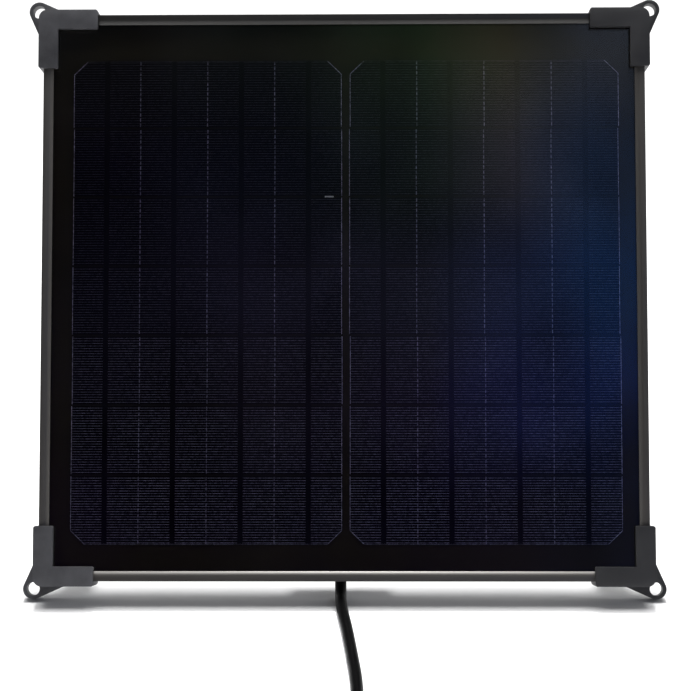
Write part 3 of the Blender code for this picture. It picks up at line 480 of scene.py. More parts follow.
# One silver per row of strips, from the bottom row up: the falling shares paint the floor's reflection, brightest
# on the bottom row.
SILVER_PAINTED_REFLECTION_SHARES = (1.0, 0.80, 0.60, 0.36, 0.24, 0.19, 0.17)
SILVER = [printed_silver(f"printed_silver_{row}", share) for row, share in enumerate(SILVER_PAINTED_REFLECTION_SHARES, 1)]
OUTLINE_SILVER = printed_silver("outline_silver", 1.15)
PAD_SILVER = printed_silver("pad_silver", 0.60)
BUSBAR = busbar_coat()
FILM = laminate_film("black_film", (0.0038, 0.0030, 0.0015), (0.0056, 0.0044, 0.0023), 0.40, 0.02)
REAR_FILM = laminate_film("rear_film", (0.012, 0.012, 0.013), (0.020, 0.020, 0.021), 0.5, 0.4)
GLASS = clear_glass()
STRAP = woven_strap()


# ---------------------------------------------------------------- shape helpers
def smooth(mesh, degrees=35.0):
    """Smooth shading, with sharper edges kept."""
    mesh.shade_smooth()
    mesh.set_sharp_from_angle(angle=math.radians(degrees))


def show(name, mesh, material, stands_for=(), body="panel", place=PANEL):
    """A finished piece that rides on a body and stands for model nodes."""
    mesh.name = name
    mesh.materials.clear()
    mesh.materials.append(material)
    piece = new_object(name, mesh)
    piece.matrix_world = place
    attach(piece, body)
    if stands_for:
        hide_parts(*stands_for)


def mesh_of(shape):
    """A mesh from a bmesh, which is freed."""
    mesh = bpy.data.meshes.new("shape")
    shape.to_mesh(mesh)
    shape.free()
    return mesh


def modified(data, kind=None, *steps):
    """The mesh of a mesh or curve after modifiers of one kind, each given by its settings."""
    obj = new_object("modified", data)
    for settings in steps:
        modifier = obj.modifiers.new(kind, kind)
        for key, value in settings.items():
            setattr(modifier, key, value)
    bpy.context.view_layer.update()
    mesh = bpy.data.meshes.new_from_object(obj.evaluated_get(bpy.context.evaluated_depsgraph_get()))
    bpy.data.objects.remove(obj, do_unlink=True)
    smooth(mesh)
    return mesh


def bevelled(mesh, width, segments=3, degrees=40.0):
    """A mesh with its sharp edges rounded."""
    edges = {"limit_method": "ANGLE", "angle_limit": math.radians(degrees)}
    return modified(mesh, "BEVEL", {"width": width, "segments": segments, **edges})


def combined(mesh, *tools):
    """A mesh joined to or cut by others, given as (operation, mesh)."""
    cutters = [new_object("tool", tool) for operation, tool in tools]
    steps = [
        {"operation": operation, "solver": "EXACT", "object": cutter}
        for (operation, tool), cutter in zip(tools, cutters)
    ]
    mesh = modified(mesh, "BOOLEAN", *steps)
    for cutter in cutters:
        bpy.data.objects.remove(cutter, do_unlink=True)
    return mesh


def extruded(outline, thickness, holes=()):
    """A flat outline in X and Y, extruded evenly along Z."""
    curve = bpy.data.curves.new("outline", "CURVE")
    curve.dimensions = "2D"
    curve.fill_mode = "BOTH"
    curve.extrude = thickness / 2
    for ring in (outline, *holes):
        spline = curve.splines.new("POLY")
        spline.points.add(len(ring) - 1)
        for point, (x, y) in zip(spline.points, ring):
            point.co = (x, y, 0.0, 1.0)
        spline.use_cyclic_u = True
    shape = bmesh.new()
    shape.from_mesh(modified(curve))
    bmesh.ops.remove_doubles(shape, verts=shape.verts, dist=1e-6)
    bmesh.ops.recalc_face_normals(shape, faces=shape.faces)
    mesh = mesh_of(shape)
    smooth(mesh)
    return mesh


def facing_front(outline, front, rear, holes=()):
    """An outline in X and Z, from depth front to depth rear along Y."""
    mesh = extruded(outline, rear - front, holes)
    mesh.transform(moved(y=(front + rear) / 2) @ rotated(90, "X"))
    return mesh


def facing_side(outline, inside, outside):
    """An outline in Y and Z, from x inside to x outside."""
    mesh = extruded(outline, outside - inside)
    turn = Matrix(((0, 0, 1, 0), (1, 0, 0, 0), (0, 1, 0, 0), (0, 0, 0, 1)))
    mesh.transform(moved((inside + outside) / 2) @ turn)
    return mesh


def boxes(places):
    """One mesh of closed boxes, given as (size, matrix)."""
    shape = bmesh.new()
    for size, place in places:
        bmesh.ops.create_cube(shape, size=1.0, matrix=place @ Matrix.Diagonal((*size, 1.0)))
    return mesh_of(shape)


def arc(centre, radius, start, end, steps):
    """Points on an arc, from start to end in degrees."""
    angles = [math.radians(start + (end - start) * i / steps) for i in range(steps + 1)]
    return [(centre[0] + radius * math.cos(a), centre[1] + radius * math.sin(a)) for a in angles]


def rounded_rectangle(width, height, radius, steps=10):
    """A centred rectangle with round corners."""
    x, y = width / 2 - radius, height / 2 - radius
    outline = []
    for centre, start in (((x, y), 0), ((-x, y), 90), ((-x, -y), 180), ((x, -y), 270)):
        outline += arc(centre, radius, start, start + 90, steps)
    return outline


def turned(profile, steps=64, ring=False):
    """A profile of (radius, height) points, down its outer side, turned about Z."""
    mesh = bpy.data.meshes.new("profile")
    edges = [(i, i + 1) for i in range(len(profile) - 1)]
    if ring:
        edges.append((len(profile) - 1, 0))
    mesh.from_pydata([(radius, 0.0, height) for radius, height in profile], edges, [])
    turn = {"axis": "Z", "angle": 2 * math.pi, "steps": steps, "render_steps": steps}
    return modified(mesh, "SCREW", {"use_merge_vertices": True, "merge_threshold": 0.00001, **turn})


def ridged(profile, steps, ridges, ring=False):
    """A profile of (radius, height, ridge depth) points turned about Z, fluted round its sides."""
    shape = bmesh.new()
    loops = []
    for radius, height, depth in profile:
        if radius == 0:
            loops.append([shape.verts.new((0.0, 0.0, height))])
            continue
        loop = []
        for i in range(steps):
            angle = 2 * math.pi * i / steps
            reach = radius - depth * (0.5 - 0.5 * math.cos(ridges * angle))
            loop.append(shape.verts.new((reach * math.cos(angle), reach * math.sin(angle), height)))
        loops.append(loop)
    pairs = list(zip(loops, loops[1:]))
    if ring:
        pairs.append((loops[-1], loops[0]))
    for upper, lower in pairs:
        for i in range(steps):
            spots = ((upper, i), (upper, i + 1), (lower, i + 1), (lower, i))
            corners = [loop[at % len(loop)] for loop, at in spots]
            shape.faces.new(list(dict.fromkeys(corners)))
    bmesh.ops.recalc_face_normals(shape, faces=shape.faces)
    mesh = mesh_of(shape)
    smooth(mesh, 40.0)
    return mesh


def rod(radius, length, steps=48, edge=0.0):
    """A round bar along X from its middle, with its ends eased."""
    half = length / 2
    end = [(0.0, half), (radius - edge, half)]
    if edge:
        end.append((radius, half - edge))
    mesh = turned(end + [(reach, -height) for reach, height in reversed(end)], steps)
    mesh.transform(rotated(90, "Y"))
    return mesh


def shifted(mesh, x=0.0, y=0.0, z=0.0):
    """The same mesh, moved."""
    mesh.transform(moved(x, y, z))
    return mesh


# ---------------------------------------------------------------- lead
def coil_points():
    """The coil's turns: flat spirals in layers, inwards and outwards by turns."""
    points = []
    per_layer = COIL_TURNS / COIL_LAYERS
    count = round(COIL_TURNS * COIL_POINTS_PER_TURN)
    for i in range(1, count + 1):
        turns = COIL_TURNS * i / count
        layer = min(int(turns / per_layer), COIL_LAYERS - 1)
        along = turns / per_layer - layer
        if layer % 2:
            along = 1 - along
        radius = COIL_OUTER + (COIL_INNER - COIL_OUTER) * along
        rise = layer
        since = turns - layer * per_layer
        if layer and since < COIL_CLIMB:
            part = since / COIL_CLIMB
            rise = layer - 1 + part * part * (3 - 2 * part)
        angle = -2 * math.pi * turns
        spot = Vector((radius * math.cos(angle), radius * math.sin(angle), rise * TURN_PITCH))
        points.append(COIL_CENTRE + spot)
    return points


def make_lead():
    """The whole lead as one curve, from the sleeve to the connector."""
    entry = COIL_CENTRE + Vector((COIL_OUTER, 0.0, 0.0))
    points = [*LEAD_ROUTE, entry, *coil_points(), *TAIL_ROUTE]
    curve = bpy.data.curves.new("lead", "CURVE")
    curve.dimensions = "3D"
    curve.bevel_depth = CABLE_RADIUS
    curve.bevel_resolution = 6
    curve.use_fill_caps = True
    curve.resolution_u = 6
    spline = curve.splines.new("BEZIER")
    spline.bezier_points.add(len(points) - 1)
    for knot, place in zip(spline.bezier_points, points):
        knot.co = place
        knot.handle_left_type = "AUTO"
        knot.handle_right_type = "AUTO"
    curve.materials.append(JACKET)
    lead = new_object("lead", curve)
    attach(lead, "panel")
    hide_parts("cable_lead", "cable_tail", "cable_coil")
    return lead


# ---------------------------------------------------------------- frame
def make_rail(name, length, centre, degrees, material=ANODISED):
    """One rail with mitred ends, along X in its own axes, with its section inwards along Z."""
    steps = [step / LIP_STEPS for step in range(LIP_STEPS + 1)]
    outline = [
        (0.0, 0.0),
        *[(LIP_FLAT + (LIP_WIDTH - LIP_FLAT) * step, LIP_FALL * step ** LIP_POWER) for step in steps],
        (LIP_WIDTH, LIP_THICKNESS),
        (WALL, LIP_THICKNESS),
        (WALL, SHELF_FRONT),
        (SHELF_WIDTH, SHELF_FRONT),
        (SHELF_WIDTH, SHELF_REAR),
        (WALL, SHELF_REAR),
        (WALL, DEPTH - FLANGE_THICKNESS),
        (FLANGE_WIDTH, DEPTH - FLANGE_THICKNESS),
        (FLANGE_WIDTH, DEPTH),
        (0.0, DEPTH),
    ]
    mesh = extruded(outline, length)
    mesh.transform(rotated(-90, "Y"))
    for vertex in mesh.vertices:
        vertex.co.x = math.copysign(length / 2 - vertex.co.z - MITRE_GAP, vertex.co.x)
    mesh = bevelled(mesh, RAIL_EDGE, 3, 15.0)
    place = PANEL @ moved(*centre) @ rotated(degrees, "Y")
    show(f"frame_{name}", mesh, material, [name], place=place)


def make_frame():
    """The four rails."""
    make_rail("rail_bottom", WIDTH, (0.0, 0.0, 0.0), 0)
    # The top rail takes the darker copy of the metal: shade painted into its colour.
    make_rail("rail_top", WIDTH, (0.0, 0.0, HEIGHT), 180, PAINTED_SHADE_ANODISED)
    make_rail("rail_left", HEIGHT, (-WIDTH / 2, 0.0, HEIGHT / 2), 90)
    make_rail("rail_right", HEIGHT, (WIDTH / 2, 0.0, HEIGHT / 2), -90)


def protector_outline():
    """The L-shaped face of a protector, with a round outer corner and eased arm ends."""
    low = -PROTECTOR_OUTSIDE
    high = low + PROTECTOR_ARM
    reach = low + PROTECTOR_REACH
    middle = low + PROTECTOR_CORNER
    ease = PROTECTOR_EASE
    arm_end = [(reach - ease, low), (reach, low + ease), (reach, high - ease / 2), (reach - ease / 2, high)]
    other_end = [(z, x) for x, z in reversed(arm_end)]
    corner = arc((middle, middle), PROTECTOR_CORNER, 180, 270, 12)
    return [*corner, *arm_end, (high, high), *other_end]


def ear_outline():
    """A disc off the corner with straight sides that run out on the protector's two walls."""
    start = (-PROTECTOR_OUTSIDE + EAR_OVERLAP, EAR_FLARE)
    run = (start[0] + EAR_OFFSET, start[1] + EAR_OFFSET)
    angle = math.degrees(math.atan2(run[1], run[0]) + math.acos(EAR_RADIUS / math.hypot(*run)))
    disc = arc((-EAR_OFFSET, -EAR_OFFSET), EAR_RADIUS, angle, 450 - angle, 48)
    inner = 0.001
    return [start, *disc, start[::-1], (start[1], inner), (inner, start[1])]


def protector_mesh():
    """The bottom left protector with its eyelet, from the frame's bottom left corner."""
    body = facing_front(protector_outline(), PROTECTOR_FRONT, PROTECTOR_REAR)
    body = bevelled(body, PROTECTOR_EDGE, 4)
    bore = arc((-EAR_OFFSET, -EAR_OFFSET), EAR_HOLE_RADIUS, 0, 355, 71)
    ear = bevelled(facing_front(ear_outline(), EAR_FRONT, EAR_REAR, [bore]), EAR_EDGE, 4)
    low, high, reach = -GAP, LIP_CLEARANCE, RAIL_ROOM
    lip_room = [(low, low), (reach, low), (reach, high), (high, high), (high, reach), (low, reach)]
    square = [(low, low), (reach, low), (reach, reach), (low, reach)]
    return combined(
        body,
        ("UNION", ear),
        ("DIFFERENCE", facing_front(lip_room, -GAP, DEPTH + GAP)),
        ("DIFFERENCE", facing_front(square, LIP_THICKNESS, DEPTH + GAP)),
    )


def make_protectors():
    """All four corner protectors, mirrored from one."""
    first = protector_mesh()
    for end_name, end in ENDS:
        for side_name, side in SIDES:
            mesh = first.copy()
            mesh.transform(Matrix.Diagonal((-side, 1, end, 1)))
            if -side * end < 0:
                mesh.flip_normals()
            place = PANEL @ moved(side * WIDTH / 2, 0.0, 0.0 if end > 0 else HEIGHT)
            node = f"corner_protector_{end_name}_{side_name}"
            name = f"{end_name}_{side_name}_protector"
            # Each side takes its own copy of the plastic: painted light on the left, painted shade on the right.
            show(name, mesh, PROTECTOR_PAINTED_LIGHT_AND_SHADE[side_name], [node], place=place)


# ---------------------------------------------------------------- laminate
def make_strip(side_name, row, rows, wobble):
    """One cell strip with its printed lines, shifted as laid. Gives the places of its outline."""
    node = f"cell_{side_name}_{row + 1}"
    low, high = node_box(node, PANEL)
    low.x += wobble
    high.x += wobble
    cut_low = CELL_CHAMFER if row == 0 else 0.0
    cut_high = CELL_CHAMFER if row == rows - 1 else 0.0
    outline = [
        (low.x + cut_low, low.z),
        (high.x - cut_low, low.z),
        (high.x, low.z + cut_low),
        (high.x, high.z - cut_high),
        (high.x - cut_high, high.z),
        (low.x + cut_high, high.z),
        (low.x, high.z - cut_high),
        (low.x, low.z + cut_low),
    ]
    points = [p for i, p in enumerate(outline) if p != outline[i - 1]]
    show(f"strip_{side_name}_{row + 1}", facing_front(points, low.y, high.y), SILICON, [node])

    front = low.y - PRINT_THICKNESS / 2
    lines, edges, pads = [], [], []

    def line(places, width, x0, z0, x1, z1):
        size = (math.hypot(x1 - x0, z1 - z0), PRINT_THICKNESS, width)
        turn = Matrix.Rotation(-math.atan2(z1 - z0, x1 - x0), 4, "Y")
        places.append((size, moved((x0 + x1) / 2, front, (z0 + z1) / 2) @ turn))

    left, right = low.x + PRINT_INSET, high.x - PRINT_INSET
    bottom, top = low.z + PRINT_INSET, high.z - PRINT_INSET
    for i in range(FINGERS_PER_STRIP):
        z = bottom + (top - bottom) * (i + 0.5) / FINGERS_PER_STRIP
        short = max(0.0, cut_low - (z - low.z), cut_high - (high.z - z))
        line(lines, FINGER_WIDTH, left + short, z, right - short, z)
    for x, inwards in ((left, 1), (right, -1)):
        line(edges, EDGE_LINE_WIDTH, x, low.z + cut_low, x, high.z - cut_high)
        if cut_low:
            line(edges, EDGE_LINE_WIDTH, x, low.z + cut_low, x + inwards * cut_low, bottom)
        if cut_high:
            line(edges, EDGE_LINE_WIDTH, x, high.z - cut_high, x + inwards * cut_high, top)
    for cut, z in ((cut_low, bottom), (cut_high, top)):
        if cut:
            line(lines, FINGER_WIDTH, left + cut, z, right - cut, z)
    pad_rows = FINGERS_PER_STRIP // 2
    pitch = (high.z - low.z) / pad_rows
    half = pitch * PAD_SHARE / 2
    for i in range(1, BUSBARS):
        x = low.x + (high.x - low.x) * i / BUSBARS
        for j in range(pad_rows):
            z = low.z + pitch * (j + 0.5)
            line(pads, PAD_WIDTH, x, z - half, x, z + half)
    # The row's silver has the floor's reflection painted into it, brighter on lower rows.
    show(f"printed_lines_{side_name}_{row + 1}", boxes(lines), SILVER[row])
    show(f"printed_pads_{side_name}_{row + 1}", boxes(pads), PAD_SILVER)
    return edges


def make_cells():
    """Strips, their printed lines, and the coated busbars that run the length of each column."""
    draw = random.Random(11)
    rows = sum(1 for node in frame["nodes"] if node.startswith("cell_left_"))
    for side_name in ("left", "right"):
        edges = []
        for row in range(rows):
            edges += make_strip(side_name, row, rows, draw.uniform(-CELL_WOBBLE, CELL_WOBBLE))
        show(f"printed_outline_{side_name}", boxes(edges), OUTLINE_SILVER)
        low = node_box(f"cell_{side_name}_1", PANEL)[0]
        high = node_box(f"cell_{side_name}_{rows}", PANEL)[1]
        front = low.y - PRINT_THICKNESS - BUSBAR_THICKNESS / 2
        size = (BUSBAR_WIDTH, BUSBAR_THICKNESS, high.z - low.z - 2 * PRINT_INSET)
        bars = []
        for i in range(BUSBARS):
            x = low.x + (high.x - low.x) * (i + 0.5) / BUSBARS
            bars.append((size, moved(x, front, (low.z + high.z) / 2)))
        show(f"busbars_{side_name}", boxes(bars), BUSBAR)
    corner = node_box("cell_left_5", PANEL)[1]
    tab = moved(corner.x - 0.0075, corner.y - 0.0003, corner.z + 0.0006)
    show("exposed_tab", boxes([(TAB_SIZE, tab)]), TINNED)


# ---------------------------------------------------------------- junction box and gland
def screw_head(radius, height):
    """A low round head with a cross recess, facing rearwards from y = 0."""
    profile = [(0.0, height), (radius * 0.55, height), (radius * 0.85, height * 0.8)]
    profile += [(radius, height * 0.35), (radius, -height), (0.0, -height)]
    head = turned(profile, 32)
    slot = (radius * 1.2, radius * 0.28, height * 1.2)
    for degrees in (0, 90):
        head = combined(head, ("DIFFERENCE", boxes([(slot, moved(z=height) @ rotated(degrees, "Z"))])))
    head.transform(rotated(-90, "X"))
    return head


def make_junction_box():
    """Shell with latches, seal, and a cover with a raised field and four screws."""
    low, high = node_box("junction_box_base", PANEL)
    middle = (low + high) / 2
    width, height = high.x - low.x, high.z - low.z
    place = PANEL @ moved(middle.x, 0.0, middle.z)
    outer = rounded_rectangle(width, height, BOX_CORNER)
    room = rounded_rectangle(width - 2 * BOX_WALL, height - 2 * BOX_WALL, BOX_CORNER - BOX_WALL)
    nut_low, nut_high = node_box("gland_nut", PANEL)
    latch_y = high.y - LATCH_SIZE[1] / 2 - LID_EDGE
    latches = [(LATCH_SIZE, moved(side * width / 2, latch_y, end * height * 0.22)) for side, end in CORNERS]
    shell = combined(facing_front(outer, low.y, high.y), ("UNION", boxes(latches)))
    hole = rod(GLAND_RADIUS + GAP, 4 * BOX_WALL)
    hole.transform(moved(0.0, (nut_low.y + nut_high.y) / 2, -height / 2) @ rotated(90, "Y"))
    slot_size = (RIBBON_SLOT[0], 4 * BOX_WALL, RIBBON_SLOT[1])
    shell = combined(
        bevelled(shell, BOX_EDGE),
        ("DIFFERENCE", facing_front(room, low.y + BOX_WALL, high.y + BOX_WALL)),
        ("DIFFERENCE", boxes([(slot_size, moved(y=low.y))])),
        ("DIFFERENCE", hole),
    )
    show("box_shell", shell, BLACK_PLASTIC, ["junction_box_base"], place=place)

    low, high = node_box("box_gasket", PANEL)
    edge = rounded_rectangle(width - 2 * GAP, height - 2 * GAP, BOX_CORNER)
    inset = 2 * BOX_WALL - 4 * GAP
    opening = rounded_rectangle(width - inset, height - inset, 0.002)
    seal = facing_front(edge, low.y, high.y, [opening])
    show("cover_seal", seal, SEAL_RUBBER, ["box_gasket"], place=place)

    front = high.y + GAP
    rear = node_box("junction_box_lid", PANEL)[1].y
    cover = bevelled(facing_front(outer, front, rear), LID_EDGE, 4)
    spots = [(side * (width / 2 - SCREW_INSET), end * (height / 2 - SCREW_INSET)) for side, end in CORNERS]
    tools = []
    for x, z in spots:
        profile = [(0.0, WELL_DEPTH), (0.0032, WELL_DEPTH), (0.0028, -WELL_DEPTH), (0.0, -WELL_DEPTH)]
        well = turned(profile, 40)
        well.transform(rotated(-90, "X"))
        tools.append(("DIFFERENCE", shifted(well, x, rear, z)))
    field = rounded_rectangle(width * 0.56, height * 0.72, 0.003)
    tools.append(("UNION", bevelled(facing_front(field, rear - 0.001, rear + 0.0006), 0.0003)))
    inset = 2 * BOX_WALL + 2 * GAP
    outline = rounded_rectangle(width - inset, height - inset, 0.002)
    inset = 2 * BOX_WALL + 0.0036
    opening = rounded_rectangle(width - inset, height - inset, 0.001, 6)
    tools.append(("UNION", facing_front(outline, low.y - GAP - 0.002, front + 0.001, [opening])))
    cover = combined(cover, *tools)
    show("box_cover", cover, BLACK_PLASTIC, ["junction_box_lid"], place=place)
    for number, (x, z) in enumerate(spots, 1):
        spot = place @ moved(x, rear - WELL_DEPTH, z)
        show(f"cover_screw_{number}", screw_head(SCREW_RADIUS, 0.0009), ZINC, place=spot)


def hexagon(radius, low, high):
    """A hexagonal prism along Z with its corners turned down at both ends."""
    prism = shifted(extruded(arc((0.0, 0.0), radius, 0, 300, 5), high - low), z=(low + high) / 2)
    inside, outside = radius * math.cos(math.radians(30)) + 0.00005, radius * 1.01
    profile = [(0.0, high), (inside, high), (outside, high - HEX_CHAMFER), (outside, low + HEX_CHAMFER)]
    profile += [(inside, low), (0.0, low)]
    return combined(prism, ("INTERSECT", turned(profile, 72)))


def make_gland():
    """Hexagon with its shank, fluted cap and ringed sleeve, on one line below the junction box."""
    low, high = node_box("gland_nut", PANEL)
    body_low, body_high = node_box("gland_body", PANEL)
    sleeve_low, sleeve_high = node_box("strain_relief_sleeve", PANEL)
    wall = node_box("junction_box_base", PANEL)[0].z
    place = PANEL @ moved((low.x + high.x) / 2, (low.y + high.y) / 2)
    hexed = hexagon((body_high.x - body_low.x) / 2, body_low.z, wall - GAP)
    top, bottom, ease = body_high.z, body_low.z + 0.001, 0.0004
    shank = [(0.0, top), (GLAND_RADIUS - ease, top), (GLAND_RADIUS, top - ease), (GLAND_RADIUS, bottom)]
    hexed = combined(hexed, ("UNION", turned([*shank, (0.0, bottom)], 48)))
    show("gland_hex", hexed, BLACK_PLASTIC, ["gland_body"], place=place)

    top, bottom = high.z, low.z
    cap = [
        (0.0, top, 0.0), (0.0062, top, 0.0), (0.0066, top - 0.0003, 0.0), (0.0066, top - 0.0010, 0.0),
        (0.0068, top - 0.0016, 0.0006), (0.0068, top - 0.0072, 0.0006), (0.0066, top - 0.0082, 0.0),
        (0.0063, top - 0.0098, 0.0), (0.0058, top - 0.0112, 0.0), (0.0053, bottom, 0.0), (0.0, bottom, 0.0),
    ]
    cap = ridged(cap, 144, 18)
    show("gland_cap", cap, BLACK_PLASTIC, ["gland_nut"], place=place)

    rings = 11
    top, length = sleeve_high.z, sleeve_high.z - sleeve_low.z
    profile = [(0.0, top), (0.0050, top)]
    for ring in range(rings):
        upper = top - length * (ring + 0.15) / rings
        lower = top - length * (ring + 0.70) / rings
        radius = 0.0053 - 0.0013 * ring / (rings - 1)
        groove = max(radius - 0.0006, CABLE_RADIUS + 0.0003)
        profile += [(radius - 0.0001, upper), (radius, upper - 0.0003), (radius, lower + 0.0003)]
        profile += [(radius - 0.0001, lower), (groove, lower - 0.0002), (groove, lower - 0.0005)]
    sleeve = turned([*profile, (groove, sleeve_low.z), (0.0, sleeve_low.z)])
    show("ringed_sleeve", sleeve, SOFT_RUBBER, ["strain_relief_sleeve"], place=place)


# ---------------------------------------------------------------- rear stand
def make_bracket(side_name, side):
    """Angle bracket with two screws. side is -1 or 1."""
    name = f"bracket_{side_name}"
    low, high = node_box(f"pivot_bracket_{side_name}", PANEL)
    inside, edge = (low.x, high.x)[::side]
    lug_out = inside + side * BRACKET_THICKNESS
    base_rear = low.y + BRACKET_THICKNESS
    fillet = 0.001
    outline = [(inside, low.y), (edge, low.y), (edge, base_rear), (lug_out + side * fillet, base_rear)]
    outline += [(lug_out, base_rear + fillet), (lug_out, high.y), (inside, high.y)]
    angle = bevelled(extruded(outline, high.z - low.z), 0.0006)
    hole = shifted(rod(BOLT_HOLE_RADIUS, 0.02), inside, (PANEL.inverted() @ PIVOT).y)
    angle = combined(angle, ("DIFFERENCE", hole))
    place = PANEL @ moved(z=(low.z + high.z) / 2)
    show(name, angle, ANODISED, [f"pivot_bracket_{side_name}"], place=place)
    for number, end in enumerate((-1, 1), 1):
        spot = place @ moved((lug_out + edge) / 2 + side * 0.002, base_rear, end * BRACKET_SCREW_RISE)
        head = screw_head(SCREW_RADIUS, 0.0011)
        show(f"{name}_screw_{number}", head, ZINC, place=spot)


def make_bolt(side_name, side):
    """Hex bolt that the stand turns on."""
    place = moved(*PIVOT)
    low, high = node_box(f"pivot_bolt_{side_name}", place)
    start, tip = (low.x, high.x)[::side]
    head = hexagon(max(high.z - low.z, high.y - low.y) / 2, 0.0, BOLT_HEAD_HEIGHT)
    head.transform(rotated(side * 90, "Y"))
    overlap = 0.001
    shank = rod(BOLT_RADIUS, abs(tip - start) - overlap, edge=0.0003)
    shifted(shank, (start + side * overlap + tip) / 2)
    bolt = combined(shifted(head, start), ("UNION", shank))
    show(f"bolt_{side_name}", bolt, ZINC, [f"pivot_bolt_{side_name}"], place=place)


def make_knob(side_name, side):
    """Lobed knob with a shallow dish and a bore for the bolt."""
    place = moved(*PIVOT)
    low, high = node_box(f"pivot_knob_{side_name}", place)
    inner, outer = (low.x, high.x)[::side]
    radius = (high.y - low.y) / 2
    top = abs(outer - inner)
    lobe = KNOB_LOBE
    grip = [
        (0.0, top, 0.0), (0.0034, top, 0.0), (0.0038, top - 0.0005, 0.0), (0.0046, top - 0.0005, 0.0),
        (0.0050, top, 0.0), (radius - 0.0018, top, 0.0), (radius - 0.0007, top - 0.0002, lobe * 0.8),
        (radius - 0.0001, top - 0.0008, lobe), (radius, top - 0.0014, lobe), (radius, 0.0016, lobe),
        (radius - 0.0002, 0.0008, lobe), (radius - 0.0010, 0.0003, lobe * 0.6),
        (radius - 0.0022, 0.0, 0.0), (0.0, 0.0, 0.0),
    ]
    knob = ridged(grip, 160, KNOB_LOBES)
    knob.transform(rotated(side * 90, "Y"))
    depth = top - 0.0008
    bore = shifted(rod(BOLT_HOLE_RADIUS, depth), side * depth / 2 - side * 0.0004)
    knob = shifted(combined(knob, ("DIFFERENCE", bore)), inner)
    node, body = f"pivot_knob_{side_name}", f"{side_name}_knob"
    show(f"knob_{side_name}", knob, BLACK_PLASTIC, [node], body, place)


def make_stand():
    """Two grooved arms, the bar between them and its two ribbed feet."""
    low, high = node_box("stand_foot_bar", Matrix.Identity(4))
    bar = (low + high) / 2 - PIVOT
    stand = moved(*PIVOT) @ Matrix.Rotation(math.atan2(bar.y, -bar.z), 4, "X")
    length = math.hypot(bar.y, bar.z)
    for side_name, side in SIDES:
        low, high = node_box(f"stand_arm_{side_name}", stand)
        half = (high.y - low.y) / 2
        outline = arc((0.0, 0.0), half, 0, 180, 32) + arc((0.0, -length), half, 180, 360, 32)
        arm = bevelled(facing_side(outline, low.x, high.x), 0.0005)
        outer = high.x if side > 0 else low.x
        groove_size = (2 * ARM_GROOVE[0], ARM_GROOVE[1], length - 0.040)
        groove = boxes([(groove_size, moved(outer, 0.0, -length / 2))])
        hole = shifted(rod(BOLT_HOLE_RADIUS, 0.02), outer)
        arm = combined(arm, ("DIFFERENCE", groove), ("DIFFERENCE", hole))
        show(f"arm_{side_name}", arm, ANODISED, [f"stand_arm_{side_name}"], "stand", stand)

        low, high = node_box(f"rubber_foot_{side_name}", stand)
        end, radius = (high.x - low.x) / 2, (high.y - low.y) / 2
        tip = [(FOOT_BAR_RADIUS + GAP, end), (radius - 0.0010, end), (radius - 0.0003, end - 0.0003)]
        tip.append((radius, end - 0.001))
        profile = list(tip)
        ribs = 6
        for rib in range(1, ribs):
            at = end - 2 * end * rib / ribs
            profile += [(radius, at + 0.0007), (radius - 0.0006, at + 0.0003)]
            profile += [(radius - 0.0006, at - 0.0003), (radius, at - 0.0007)]
        profile += [(reach, -height) for reach, height in reversed(tip)]
        foot = turned(profile, 72, True)
        foot.transform(rotated(90, "Y"))
        spot = stand @ moved((low.x + high.x) / 2, 0.0, -length)
        node = f"rubber_foot_{side_name}"
        show(f"foot_{side_name}", foot, SOFT_RUBBER, [node], "stand", spot)
    low, high = node_box("stand_foot_bar", stand)
    tube = rod(FOOT_BAR_RADIUS, high.x - low.x, 64, 0.0004)
    show("foot_tube", tube, ANODISED, ["stand_foot_bar"], "stand", stand @ moved(z=-length))


# ---------------------------------------------------------------- strap and connector
def outer_ring(points):
    """The points' convex hull, anticlockwise."""
    ring = []
    for row in (sorted(points), sorted(points, reverse=True)):
        start = len(ring)
        for x, y in row:
            while len(ring) >= start + 2:
                (ax, ay), (bx, by) = ring[-2:]
                if (bx - ax) * (y - ay) - (by - ay) * (x - ax) > 1e-12:
                    break
                ring.pop()
            ring.append((x, y))
        ring.pop()
    return ring


def make_strap():
    """Hook-and-loop strap drawn tight round the coil: bound edges and an overlapping tongue."""
    turn = Matrix.Rotation(TIE_ANGLE, 4, "Z")
    low, high = node_box("cable_tie", turn)
    width = high.y - low.y
    outwards = turn @ Vector((1.0, 0.0, 0.0))
    crossings = []
    for point in coil_points():
        along = (point - COIL_CENTRE).dot(outwards)
        if along > 0 and (point - COIL_CENTRE - along * outwards).xy.length < 0.0001:
            crossings.append((along, point.z))

    def loop(radius):
        circles = [arc(crossing, radius, 0, 345, 23) for crossing in crossings]
        return outer_ring([point for circle in circles for point in circle])

    inside = CABLE_RADIUS + GAP / 2
    outside = inside + TIE_THICKNESS * 0.8
    band = facing_front(loop(outside), -width / 2, width / 2, [loop(inside)])
    tools = []
    for side in (-1, 1):
        middle = side * (width / 2 - 0.0008)
        binding = facing_front(loop(outside + 0.0002), middle - 0.0004, middle + 0.0004, [loop(inside)])
        tools.append(("UNION", binding))
    top = loop(outside)
    level = max(z for x, z in top)
    ends = [x for x, z in top if z > level - 0.0002]
    tongue = rounded_rectangle((max(ends) - min(ends)) * 0.7, width * 0.92, 0.0022, 8)
    tongue = bevelled(extruded(tongue, TIE_THICKNESS), 0.0003)
    tools.append(("UNION", shifted(tongue, (max(ends) + min(ends)) / 2, 0.0, level + 0.0004)))
    band = combined(bevelled(band, 0.0002, 2), *tools)
    place = moved(COIL_CENTRE.x, COIL_CENTRE.y) @ turn
    show("coil_strap", band, STRAP, ["cable_tie"], place=place)


